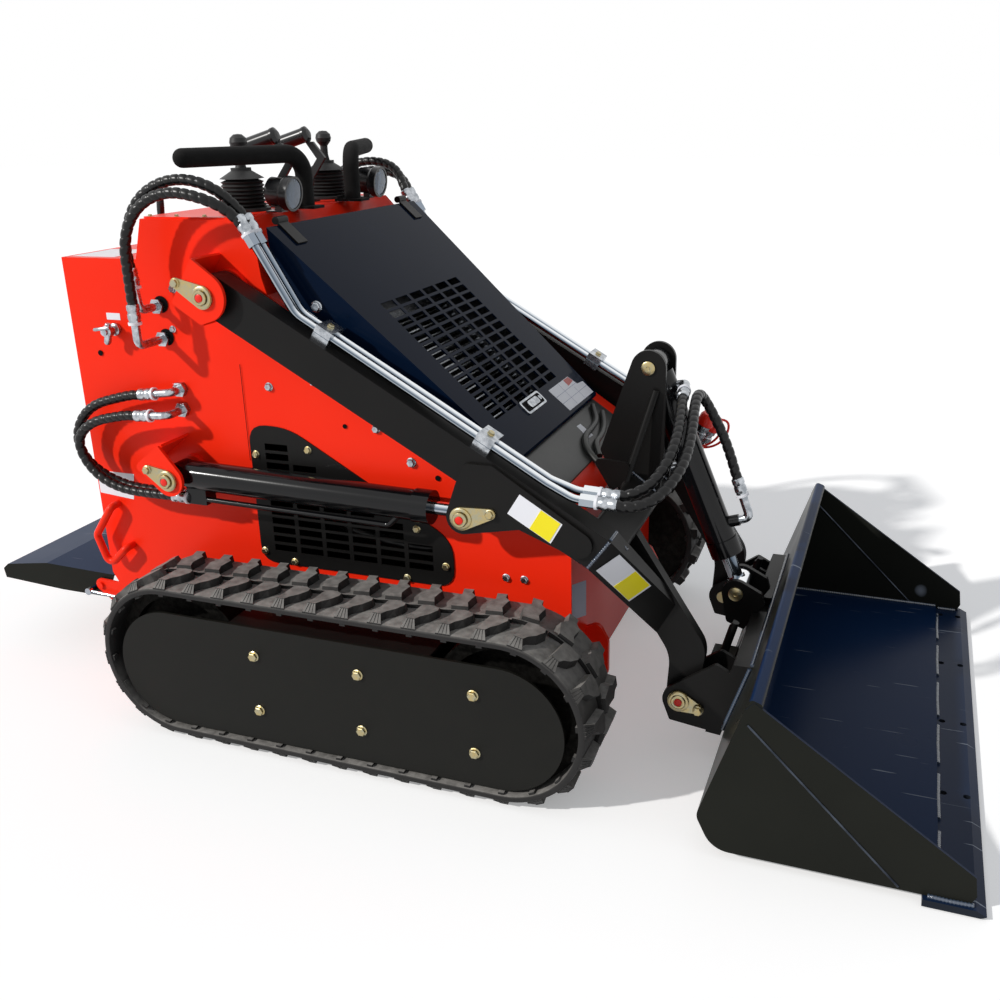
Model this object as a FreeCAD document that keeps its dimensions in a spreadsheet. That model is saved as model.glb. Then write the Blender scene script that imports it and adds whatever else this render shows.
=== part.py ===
"""Mini track loader: a stand-on tracked loader with lift arms and a bucket.

Frame: +X forward, +Y left, +Z up, ground at Z = 0, millimetres.
Profiles are drawn in X and Z from one datum on the track. Every piece is moved back by frame_centre,
so that the origin is on the ground under the middle of the machine.
"""

import FreeCAD
import Part
import math
import os

V = FreeCAD.Vector
doc = FreeCAD.newDocument("mini_track_loader")

# Driving dimensions. The spreadsheet holds each one under its name.
DIMS = {
    "frame_centre": 89.0,
    # Tracks
    "track_outer": 584.0,
    "track_width": 180.0,
    "track_height": 382.0,
    "wheel_rear": -371.0,
    "wheel_front": 388.0,
    "belt_thickness": 14.0,
    "lug_height": 16.0,
    "lug_count": 36,
    "cover_face": 576.0,
    "cover_sheet": 6.0,
    # Chassis
    "shell_width": 680.0,
    "shell_wall": 5.0,
    "side_face": 340.0,
    "tower_top": 1100.0,
    "grille_sheet": 3.0,
    "bracket_face": 432.0,
    "bracket_plate": 8.0,
    # Lift arms
    "arm_inner": 360.0,
    "arm_width": 55.0,
    "leg_inner": 248.0,
    "leg_plate": 28.0,
    "gusset_plate": 8.0,
    "pin_radius": 15.0,
    "tube_radius": 8.0,
    # Bucket
    "bucket_half": 605.0,
    "bucket_side": 593.0,
    "bucket_plate": 6.0,
    "edge_bolt_radius": 7.0,
    "edge_bolt_spacing": 275.0,
    # Hoses
    "hose_radius": 10.0,
}

sheet = doc.addObject("Spreadsheet::Sheet", "Dims")
for row, (name, value) in enumerate(DIMS.items(), 1):
    sheet.set(f"A{row}", name)
    sheet.set(f"B{row}", str(value))
    sheet.setAlias(f"B{row}", name)
doc.recompute()

# Pin centres in X and Z
ARM_PIVOT = (-280.0, 958.0)
LIFT_REAR = (-430.0, 555.0)
LIFT_ROD = (260.0, 540.0)
BUCKET_PIN = (680.0, 139.0)
TILT_HEAD = (541.0, 776.0)
TILT_ROD = (749.0, 280.0)
HOOD_HINGE = (-185.0, 1095.0)
PLATFORM_HINGE = (-762.0, 215.0)
SPRING_BALL = (-790.0, 200.0)
SPRING_ANCHOR = (-500.0, 185.0)

# Steel tubes on the arms: their planes and their upper ends
TUBE_PLANES = (363, 389)
TUBE_START = (-191.0, 1075.0)
TUBE_SECOND = (-100.0, 922.0)

WHEEL_HEIGHT = DIMS["track_height"] / 2
WHEEL_RADIUS = WHEEL_HEIGHT - DIMS["lug_height"] - DIMS["belt_thickness"]

nodes = {}


# ---- Outlines -------------------------------------------------------------------------------

def tangent(a, b):
    """Where the line from circle a to circle b touches each, with both circles on its left."""
    along = V(b[0] - a[0], b[1] - a[1], 0)
    heading = math.atan2(along.y, along.x)
    side = heading - math.acos((a[2] - b[2]) / along.Length)
    normal = V(math.cos(side), math.sin(side), 0)
    return V(a[0], a[1], 0) + normal * a[2], V(b[0], b[1], 0) + normal * b[2]


def wrap(*circles):
    """Closed outline round circles (a, b, radius), taken anticlockwise.

    A circle with no radius is a sharp corner, and a negative radius is a hollow.
    """
    circles = [c if len(c) == 3 else (c[0], c[1], 0.0) for c in circles]
    count = len(circles)
    runs = [tangent(circles[i], circles[(i + 1) % count]) for i in range(count)]
    edges = []
    for i, (a, b, radius) in enumerate(circles):
        arrive, leave = runs[i - 1][1], runs[i][0]
        if radius:
            centre = V(a, b, 0)
            start = math.atan2(arrive.y - b, arrive.x - a)
            turn = math.atan2(leave.y - b, leave.x - a) - start
            turn = turn % (2 * math.pi) if radius > 0 else -(-turn % (2 * math.pi))
            middle = start + turn / 2
            top = centre + V(math.cos(middle), math.sin(middle), 0) * abs(radius)
            edges.append(Part.Arc(arrive, top, leave))
        edges.append(Part.LineSegment(leave, runs[i][1]))
    return edges


def rounded(*corners):
    """Closed outline through corners (a, b), where a third number is that corner's radius."""
    count = len(corners)
    starts, ends, bends = [], [], []
    for i, corner in enumerate(corners):
        here = V(corner[0], corner[1], 0)
        back = V(*corners[i - 1][:2], 0) - here
        ahead = V(*corners[(i + 1) % count][:2], 0) - here
        if len(corner) == 3:
            back.normalize()
            ahead.normalize()
            half = back.getAngle(ahead) / 2
            reach = corner[2] / math.tan(half)
            inward = back + ahead
            inward.normalize()
            middle = here + inward * (corner[2] / math.sin(half) - corner[2])
            starts.append(here + back * reach)
            ends.append(here + ahead * reach)
            bends.append(Part.Arc(starts[-1], middle, ends[-1]))
        else:
            starts.append(here)
            ends.append(here)
            bends.append(None)
    edges = []
    for i in range(count):
        if bends[i]:
            edges.append(bends[i])
        edges.append(Part.LineSegment(ends[i], starts[(i + 1) % count]))
    return edges


def circle(a, b, radius):
    """Full circle as a one-edge outline."""
    return [Part.Circle(V(a, b, 0), V(0, 0, 1), radius)]


def rectangle(a0, b0, a1, b1):
    """Rectangle between two opposite corners."""
    return rounded((a0, b0), (a1, b0), (a1, b1), (a0, b1))


def along(start, end, distance):
    """Point in X and Z at a distance from start towards end."""
    length = math.hypot(end[0] - start[0], end[1] - start[1])
    share = distance / length
    return start[0] + (end[0] - start[0]) * share, start[1] + (end[1] - start[1]) * share


def toward(start, end, distance):
    """Point in space at a distance from start towards end."""
    heading = V(*end) - V(*start)
    return tuple(V(*start) + heading * (distance / heading.Length))


def arm_top(x):
    """Height of the arm's straight upper edge."""
    return 523 + 0.575 * (561 - x)


# ---- Features -------------------------------------------------------------------------------

def new_body(label):
    body = doc.addObject("PartDesign::Body", label)
    body.Label = label
    return body


def sketch(body, role, edges, offset="0"):
    """Sketch on one of the body's origin planes, moved along the plane's normal by offset."""
    plane = [f for f in body.Origin.OriginFeatures if f.Role == role][0]
    made = body.newObject("Sketcher::SketchObject", body.Label + "_sketch")
    made.AttachmentSupport = [(plane, "")]
    made.MapMode = "FlatFace"
    made.addGeometry(edges, False)
    made.setExpression("AttachmentOffset.Base.z", offset)
    return made


def pad(body, role, edges, length, offset="0", symmetric=False):
    """Pad an outline. On the XZ plane it grows towards -Y, from y = -offset."""
    made = body.newObject("PartDesign::Pad", body.Label + "_pad")
    made.Profile = sketch(body, role, edges, offset)
    made.setExpression("Length", length)
    if symmetric:
        made.SideType = "Symmetric"
    doc.recompute()
    body.Tip = made
    return made


def pocket(body, role, edges, length, offset="0", symmetric=False):
    """Cut an outline. On the XZ plane it cuts towards +Y, from y = -offset."""
    before = body.Shape.Volume
    made = body.newObject("PartDesign::Pocket", body.Label + "_pocket")
    made.Profile = sketch(body, role, edges, offset)
    made.setExpression("Length", length)
    if symmetric:
        made.SideType = "Symmetric"
    doc.recompute()
    body.Tip = made
    if body.Shape.Volume > before - 1:
        raise ValueError(f"{made.Name} cuts nothing")
    return made


def plate(label, edges, inner, thickness):
    """Upright plate on the right-hand side, from y = -inner outwards."""
    body = new_body(label)
    pad(body, "XZ_Plane", edges, thickness, inner)
    return body


def box(label, x, y, z):
    """Box between pairs of limits."""
    made = doc.addObject("Part::Box", label)
    made.Length, made.Width, made.Height = x[1] - x[0], y[1] - y[0], z[1] - z[0]
    made.Placement.Base = V(x[0], y[0], z[0])
    return made


def cylinder(label, centre, radius, start, end):
    """Cylinder along Y round (x, z), from y = start to y = end. Radius is a number or a cell."""
    made = doc.addObject("Part::Cylinder", label)
    if isinstance(radius, str):
        made.setExpression("Radius", radius)
    else:
        made.Radius = radius
    made.Height = abs(end - start)
    made.Placement = FreeCAD.Placement(
        V(centre[0], min(start, end), centre[1]), FreeCAD.Rotation(V(1, 0, 0), -90)
    )
    return made


def rod(label, start, end, radius):
    """Cylinder from one point to another."""
    along = V(*end) - V(*start)
    made = doc.addObject("Part::Cylinder", label)
    if isinstance(radius, str):
        made.setExpression("Radius", radius)
    else:
        made.Radius = radius
    made.Height = along.Length
    made.Placement = FreeCAD.Placement(V(*start), FreeCAD.Rotation(V(0, 0, 1), along))
    return made


def fuse(label, *pieces):
    made = doc.addObject("Part::MultiFuse", label)
    made.Shapes = list(pieces)
    made.Refine = True
    return made


def cut(label, base, tool):
    made = doc.addObject("Part::Cut", label)
    made.Base, made.Tool = base, tool
    made.Refine = True
    return made


def group(label, *pieces):
    """Solids of one node that don't touch."""
    made = doc.addObject("Part::Compound", label)
    made.Links = list(pieces)
    return made


def mirrored(label, piece):
    """Left-hand copy of a right-hand piece."""
    made = doc.addObject("Part::Mirroring", label)
    made.Source = piece
    made.Normal = V(0, 1, 0)
    return made


def both(label, piece):
    """A right-hand piece and its left-hand copy, as one node."""
    return group(label, piece, mirrored(label + "_left_half", piece))


def tube(label, points, radius, bend=None):
    """Round bar or hose through points, with an arc at each inner point.

    Without a bend radius, each arc is as large as its two runs allow.
    """
    points = [V(*p) for p in points]
    edges = []
    last = points[0]
    for before, here, after in zip(points, points[1:], points[2:]):
        back, ahead = before - here, after - here
        shorter = min(back.Length, ahead.Length)
        back.normalize()
        ahead.normalize()
        half = back.getAngle(ahead) / 2
        reach = 0.45 * shorter
        if bend:
            reach = min(reach, bend / math.tan(half))
        turn = reach * math.tan(half)
        inward = back + ahead
        inward.normalize()
        middle = here + inward * (turn / math.sin(half) - turn)
        edges.append(Part.LineSegment(last, here + back * reach).toShape())
        edges.append(Part.Arc(here + back * reach, middle, here + ahead * reach).toShape())
        last = here + ahead * reach
    edges.append(Part.LineSegment(last, points[-1]).toShape())
    spine = doc.addObject("Part::Feature", label + "_spine")
    spine.Shape = Part.Wire(edges)
    ring = doc.addObject("Part::Circle", label + "_ring")
    if isinstance(radius, str):
        ring.setExpression("Radius", radius)
    else:
        ring.Radius = radius
    start = points[1] - points[0]
    ring.Placement = FreeCAD.Placement(points[0], FreeCAD.Rotation(V(0, 0, 1), start))
    made = doc.addObject("Part::Sweep", label)
    made.Sections = [ring]
    made.Spine = (spine, [f"Edge{i + 1}" for i in range(len(edges))])
    made.Solid = True
    made.Frenet = False
    doc.recompute()
    return made


def turned(label, profile, at, direction):
    """Solid of revolution from (radius, distance) corners, standing at a point along a direction."""
    body = new_body(label)
    made = body.newObject("PartDesign::Revolution", label + "_turn")
    made.Profile = sketch(body, "XZ_Plane", rounded(*profile))
    made.ReferenceAxis = (made.Profile[0], ["V_Axis"])
    made.Angle = 360
    doc.recompute()
    body.Tip = made
    body.Placement = FreeCAD.Placement(V(*at), FreeCAD.Rotation(V(0, 0, 1), V(*direction)))
    return body


def hexagon(label, start, end, across):
    """Hexagonal bar between two points, across its flats."""
    along = V(*end) - V(*start)
    made = doc.addObject("Part::Prism", label)
    made.Polygon = 6
    made.Circumradius = across / math.sqrt(3)
    made.Height = along.Length
    made.Placement = FreeCAD.Placement(V(*start), FreeCAD.Rotation(V(0, 0, 1), along))
    return made


def node(label, piece):
    """Name a finished sub-part and set it in the machine's frame."""
    if piece.Placement.Base.Length > 0:
        piece = group(label + "_set", piece)
    piece.Label = label
    piece.setExpression("Placement.Base.x", "-Dims.frame_centre")
    nodes[label] = piece
    return piece


def left_of(label, right):
    """Left-hand twin of a finished right-hand sub-part."""
    nodes[label] = mirrored(label, right)
    return nodes[label]


def bored(label, piece, *holes):
    """Piece with round holes along Y, each (pin centre, radius)."""
    tools = [cylinder(f"{label}_tool_{i}", pin, radius, -460, 460) for i, (pin, radius) in enumerate(holes)]
    return cut(label, piece, tools[0] if len(tools) == 1 else fuse(label + "_tools", *tools))


# ---- Tracks and undercarriage ---------------------------------------------------------------

def belt_outline(height, phase):
    """Outside of the rubber belt with its lugs."""
    skin = WHEEL_RADIUS + DIMS["belt_thickness"]
    run = DIMS["wheel_front"] - DIMS["wheel_rear"]
    bend = math.pi * skin
    pitch = 2 * (run + bend) / DIMS["lug_count"]

    def at(distance, rise):
        distance %= 2 * (run + bend)
        far = distance >= run + bend
        distance -= (run + bend) * far
        sign = -1 if far else 1
        centre = DIMS["wheel_rear"] if far else DIMS["wheel_front"]
        if distance < run:
            return centre - sign * (run - distance), WHEEL_HEIGHT - sign * (skin + rise)
        angle = (distance - run) / skin
        reach = skin + rise
        return centre + sign * reach * math.sin(angle), WHEEL_HEIGHT - sign * reach * math.cos(angle)

    points = []
    for i in range(int(DIMS["lug_count"])):
        start = (i + phase) * pitch
        for share, rise in ((0.0, 0), (0.07, 1), (0.47, 1), (0.54, 0), (0.77, 0)):
            points.append(at(start + share * pitch, rise * height))
    return rounded(*points)


def make_track():
    body = new_body("track_body")
    lug = DIMS["lug_height"]
    half = "Dims.track_width / 2"
    pad(body, "XZ_Plane", belt_outline(lug, 0.7), half, "Dims.track_outer - Dims.track_width")
    pad(body, "XZ_Plane", belt_outline(lug, 0.2), half, "Dims.track_outer - Dims.track_width / 2")
    inner = wrap(
        (DIMS["wheel_rear"], WHEEL_HEIGHT, WHEEL_RADIUS),
        (DIMS["wheel_front"], WHEEL_HEIGHT, WHEEL_RADIUS),
    )
    pocket(body, "XZ_Plane", inner, "Dims.track_width * 2 + 20", "Dims.track_outer", symmetric=True)
    return body


def make_wheel(label, x, hub):
    """Sprocket or idler that fills an end of the belt."""
    rim = WHEEL_RADIUS - 0.5
    body = new_body(label)
    pad(body, "XZ_Plane", circle(x, WHEEL_HEIGHT, rim), "84", "448")
    pocket(body, "XZ_Plane", circle(x, WHEEL_HEIGHT, rim - 28), "26", "532")
    pad(body, "XZ_Plane", circle(x, WHEEL_HEIGHT, hub), "18", "506")
    return body


def make_undercarriage():
    track = make_track()
    node("track_right", track)
    left_of("track_left", track)
    sprocket = make_wheel("sprocket_body", DIMS["wheel_rear"], 55)
    node("drive_sprockets", both("sprocket_pair", sprocket))
    idler = make_wheel("idler_body", DIMS["wheel_front"], 38)
    node("front_idlers", both("idler_pair", idler))

    roller_z = WHEEL_HEIGHT - WHEEL_RADIUS + 45.5
    rollers = []
    for i in range(5):
        profile = ((0, 0), (14, 0), (14, 14), (45, 14), (45, 48), (30, 52), (30, 90), (45, 94), (45, 128),
                   (14, 128), (14, 142), (0, 142))
        rollers.append(turned(f"roller_{i}", profile, (-190 + 100 * i, -420, roller_z), (0, -1, 0)))
    node("track_rollers", both("roller_pair", group("rollers_right", *rollers)))

    channel = new_body("beam_channel")
    section = rounded((-570, 300, 12), (-570, 70), (-562, 70), (-562, 292), (-420, 292), (-420, 70),
                      (-412, 70), (-412, 300, 12))
    pad(channel, "YZ_Plane", section, "465", "-225")
    ends = plate("beam_ends", wrap((DIMS["wheel_rear"], WHEEL_HEIGHT, 62), (-225, 110), (240, 110),
                                   (DIMS["wheel_front"], WHEEL_HEIGHT, 34), (240, 290), (-225, 290)), "412", "20")
    cross = [
        box(f"cross_{i}", (x, x + 80), (-412, -340), (150, 230)) for i, x in enumerate((-230, 200))
    ]
    motor = cylinder("motor_housing", (DIMS["wheel_rear"], WHEEL_HEIGHT), 60, -448, -340)
    axle = cylinder("idler_axle", (DIMS["wheel_front"], WHEEL_HEIGHT), 25, -448, -412)
    beam = fuse("track_beam", channel, ends, motor, axle, *cross)
    node("track_frames", both("frame_pair", beam))

    cover = new_body("cover_body")
    pad(cover, "XZ_Plane", wrap((-372, 172, 134), (386, 172, 134)), "Dims.cover_sheet",
        "Dims.cover_face - Dims.cover_sheet")
    bolts = [
        hexagon(f"cover_bolt_{i}", (x, -575, z), (x, -582, z), 17)
        for i, (x, z) in enumerate([(x, z) for x in (-158, 86, 336) for z in (111, 240)])
    ]
    node("track_covers", both("cover_pair", fuse("cover_bolted", cover, *bolts)))


# ---- Chassis --------------------------------------------------------------------------------

def slope(x):
    """Height of the red body's sloping top."""
    return 950 - 435 / 655 * (x + 195)


def shell_outline(d=0.0):
    """Side view of the red body, drawn in by d."""
    return rounded(
        (-640 + 0.7 * d, 115 + d),
        (460 - d, 115 + d),
        (460 - d, 515 - 0.5 * d),
        (-195 - 0.6 * d, 950 - 0.8 * d),
        (-205 - d, 985),
        (-213 - d, 1055 - 0.5 * d),
        (-256 - 0.3 * d, 1100 - d),
        (-492 + 0.7 * d, 1100 - d),
        (-516 + 0.7 * d, 1016 - d),
        (-719 + d, 1016 - d),
        (-719 + d, 257 + 0.3 * d),
    )


def make_chassis():
    shell = new_body("shell_body")
    wall = DIMS["shell_wall"]
    pad(shell, "XZ_Plane", shell_outline(), "Dims.shell_width", symmetric=True)
    pocket(shell, "XZ_Plane", shell_outline(wall), "Dims.shell_width - 2 * Dims.shell_wall", symmetric=True)
    window = rounded((-250, 370), (178, 370), (178, 445), (-180, 645, 12), (-250, 645, 35))
    pocket(shell, "XZ_Plane", window, "Dims.shell_width + 20", symmetric=True)
    hole = rounded((-150, -290), (300, -240), (300, 240), (-150, 290))
    pocket(shell, "XY_Plane", hole, "550", "1000")
    lug_plate = wrap((*PLATFORM_HINGE, 16), (-660, 130, 6), (-690, 222, 6))
    lugs = [plate(f"platform_lug_{i}", lug_plate, str(y), "6") for i, y in enumerate((334, -340))]
    pins = [cylinder(f"platform_pin_{i}", PLATFORM_HINGE, 8, side * 318, side * 346)
            for i, side in enumerate((-1, 1))]
    node("chassis_shell", fuse("shell_set", shell, *pins, *lugs))

    engine = box("engine", (-130, 330), (-170, 170), (115 + wall, 560))
    node("engine_block", engine)

    deck = new_body("deck_body")
    pad(deck, "XY_Plane", rounded((-490, -336, 12), (-262, -336, 12), (-262, 336, 12), (-490, 336, 12)),
        "4", "Dims.tower_top")
    node("control_deck", deck)

    grille = new_body("grille_body")
    face = rounded((-275, 345), (202, 345), (202, 452), (-176, 668, 20), (-275, 668, 55))
    pad(grille, "XZ_Plane", face, "Dims.grille_sheet", "Dims.side_face")
    slot = rounded((-240, 380, 5), (-175, 380, 5), (-175, 394, 5), (-240, 394, 5))
    first = pocket(grille, "XZ_Plane", slot, "20", "Dims.side_face + 10")
    grid = grille.newObject("PartDesign::LinearPattern", "grille_rows")
    grid.Originals = [first]
    grid.Direction = (first.Profile[0], ["V_Axis"])
    grid.Length = 240
    grid.Occurrences = 9
    doc.recompute()
    grille.Tip = grid
    node("side_grilles", both("grille_pair", grille))

    flap = new_body("flap_body")
    sheet_line = rounded((322, slope(322) + 0.4), (410, slope(410) + 0.4), (410, slope(410) + 4.4),
                         (322, slope(322) + 4.4))
    pad(flap, "XZ_Plane", sheet_line, "560", symmetric=True)
    lines = []
    routes = ([(338, 228), (366, 168), (370, 112), (372, 44), (392, -8), (426, -30)],
              [(362, 232), (384, 172), (394, 112), (396, 52), (420, 4)])
    for i, route in enumerate(routes):
        lines.append(tube(f"drain_{i}", [(x, y, slope(x) + 11.5) for x, y in route], 7))
    node("front_flap", group("flap_set", flap, *lines))


def make_brackets():
    x, z = ARM_PIVOT
    outer = plate("arm_bracket_plate", wrap((x, z, 50), (-299, 1030, 3), (-352, 945, 5), (-293, 905, 3)),
                  "Dims.bracket_face", "Dims.bracket_plate")
    wall = plate("arm_bracket_wall",
                 rounded((-301, 1034), (-358, 944), (-291, 899), (-288, 904), (-350, 946), (-296, 1031)),
                 "Dims.side_face", "Dims.bracket_face - Dims.side_face + 2")
    boss = cylinder("pivot_boss", ARM_PIVOT, 44, -354, -340)
    bracket = bored("arm_bracket", fuse("arm_bracket_solid", outer, wall, boss), (ARM_PIVOT, 15.05))
    node("arm_brackets", both("arm_bracket_pair", bracket))

    x, z = LIFT_REAR
    outer = plate("clevis_plate", wrap((x, z, 37), (-446, 628, 3), (-502, 578, 8)),
                  "Dims.bracket_face", "Dims.bracket_plate")
    wall = plate("clevis_wall", rounded((-441, 634), (-510, 586), (-513, 571), (-507, 570), (-504, 582),
                                        (-438, 629)),
                 "Dims.side_face", "Dims.bracket_face - Dims.side_face + 2")
    boss = cylinder("clevis_boss", LIFT_REAR, 30, -350, -340)
    clevis = bored("clevis", fuse("clevis_solid", outer, wall, boss), (LIFT_REAR, 15.05))
    node("lift_clevises", both("clevis_pair", clevis))

    pins = []
    for name, pin, bolt in (("pivot", ARM_PIVOT, (-340, 985)), ("clevis", LIFT_REAR, (-478, 576))):
        shaft = cylinder(name + "_shaft", pin, "Dims.pin_radius", -452, -340)
        lock = plate(name + "_lock", wrap((*bolt, 11), (*pin, 24)), "Dims.bracket_face + Dims.bracket_plate", "5")
        screw = hexagon(name + "_screw", (bolt[0], -440, bolt[1]), (bolt[0], -451, bolt[1]), 15)
        pins.append(fuse(name + "_pin_right", shaft, lock, screw))
    stud = cylinder("spring_stud", SPRING_ANCHOR, 6, -349, -340)
    node("chassis_pins", both("chassis_pin_pair", group("pins_right", *pins, stud)))

    loop = tube("loop_bar", [(-668, -340, 441), (-668, -366, 441), (-722, -368, 365), (-696, -368, 287),
                             (-642, -366, 339), (-642, -340, 339)], 9, 16)
    ear = plate("tow_ear", wrap((460, 120), (487, 145, 24), (492, 210, 19), (482, 236, 16), (460, 243)), "226", "12")
    eye = cylinder("tow_eye", (486, 152), 12, -245, -220)
    node("tie_down_loops", both("loop_pair", group("loops_right", loop, cut("tow_ear_bored", ear, eye))))


def make_controls():
    bar = tube("handlebar", [(-225, -107, 1106), (-225, -107, 1220), (-330, -385, 1222)], 19, 46)
    end = doc.addObject("Part::Sphere", "handle_end")
    end.Radius = 19
    end.Placement.Base = V(-330, -385, 1222)
    base = box("handle_base", (-262, -192), (-129, -85), (1104, 1110))
    screws = [hexagon(f"handle_screw_{i}", (-253, y, 1110), (-253, y, 1117), 13) for i, y in enumerate((-121, -94))]
    node("handlebars", both("handlebar_pair", fuse("handlebar_set", bar, end, base, *screws)))

    stem = plate("lever_stem", rounded((-337, 1104), (-321, 1104), (-302, 1160), (-268, 1204), (-298, 1240),
                                       (-318, 1240), (-290, 1202), (-318, 1166)), "63", "8")
    grip = turned("lever_grip", ((0, 0), (12, 0), (17, 6), (17, 112), (18.5, 114), (18.5, 120), (10, 126), (0, 127)),
                  (-430, -67, 1225), (117, 0, 32))
    foot = box("lever_foot", (-352, -306), (-92, -42), (1104, 1109))
    node("drive_levers", both("lever_pair", fuse("lever_set", stem, grip, foot)))

    folds = [(0, 0), (56, 0), (56, 6)]
    for i in range(7):
        rise = 9 + 8 * i
        folds += [(42, rise), (50 - 0.6 * i, rise + 4)]
    folds += [(34, 66), (48, 68), (22, 84), (22, 90), (12, 90), (9, 104), (9, 124), (17, 134), (19, 142), (17, 151),
              (9, 158), (0, 159)]
    stick = turned("joystick", folds, (-336, -180, 1104), (0, 0, 1))
    node("joysticks", both("joystick_pair", group("joystick_right", stick)))

    housing = turned("lamp_body", ((0, 0), (20, 0), (30, 8), (30, 38), (36, 46), (36, 62), (31, 62), (31, 54), (0, 54)),
                     (-258, -200, 1147), (1, 0, -0.1))
    stem = plate("lamp_stem", rounded((-242, 1105), (-226, 1105), (-226, 1122), (-242, 1122)), "192", "16")
    foot = box("lamp_foot", (-262, -222), (-212, -188), (1104, 1107))
    node("work_lamps", both("lamp_pair", fuse("lamp_set", housing, stem, foot)))


def make_hood():
    top_rear, top_front = (-179, 1086), (329, 625)

    def wedge(name, d, extra):
        low_rear, low_front = (-152, slope(-152) + 7 - extra), (322, slope(322) + 6 - extra)
        body = new_body(name)
        outline = rounded((top_rear[0] + d, top_rear[1] - d), (-176 + d, 1040), low_rear, low_front,
                          (329 - d, 618 - extra), (top_front[0] - d, top_front[1] - d))
        pad(body, "XZ_Plane", outline, "700", symmetric=True)
        for side in (-1, 1):
            edge = rounded((-185, side * (344 - d)), (335, side * (287 - d)), (335, side * 400), (-185, side * 400))
            pocket(body, "XY_Plane", edge, "700", "1150")
        return body

    panel = cut("hood_sheet", wedge("hood_outer", 0, 0), wedge("hood_inner", 4, 20))
    node("hood_panel", panel)

    def on_hood(distance, rise):
        return -179 + 0.7405 * distance + 0.672 * rise, 1086 - 0.672 * distance + 0.7405 * rise

    leaf = rounded(on_hood(-8, -1), on_hood(1, 0.2), on_hood(56, 0.2), on_hood(56, 4.2), on_hood(-6, 4.2))
    hinges = []
    for i, y in enumerate((261, -299)):
        hinges.append(fuse(f"hinge_{i}", plate(f"strap_{i}", leaf, str(y), "38"),
                           cylinder(f"barrel_{i}", HOOD_HINGE, 8, -y - 38, -y)))
    node("hood_hinges", group("hinge_set", *hinges))

    slant = (508, 0, -461)
    latch = fuse("latch_set", box("latch_plate", (-22, 22), (-56, 4), (0, 5)),
                 cylinder("latch_handle", (0, 9), 7, -50, -2))
    latch.Placement = FreeCAD.Placement(V(300, 0, 651.4), FreeCAD.Rotation(V(1, 0, 0), V(*slant)))
    node("hood_latch", latch)


# ---- Lift arms ------------------------------------------------------------------------------

def corners_loop(label, corners):
    """Closed flat loop of straight lines through points in space."""
    made = doc.addObject("Part::Polygon", label)
    made.Nodes = [V(*c) for c in corners]
    made.Close = True
    return made


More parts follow.
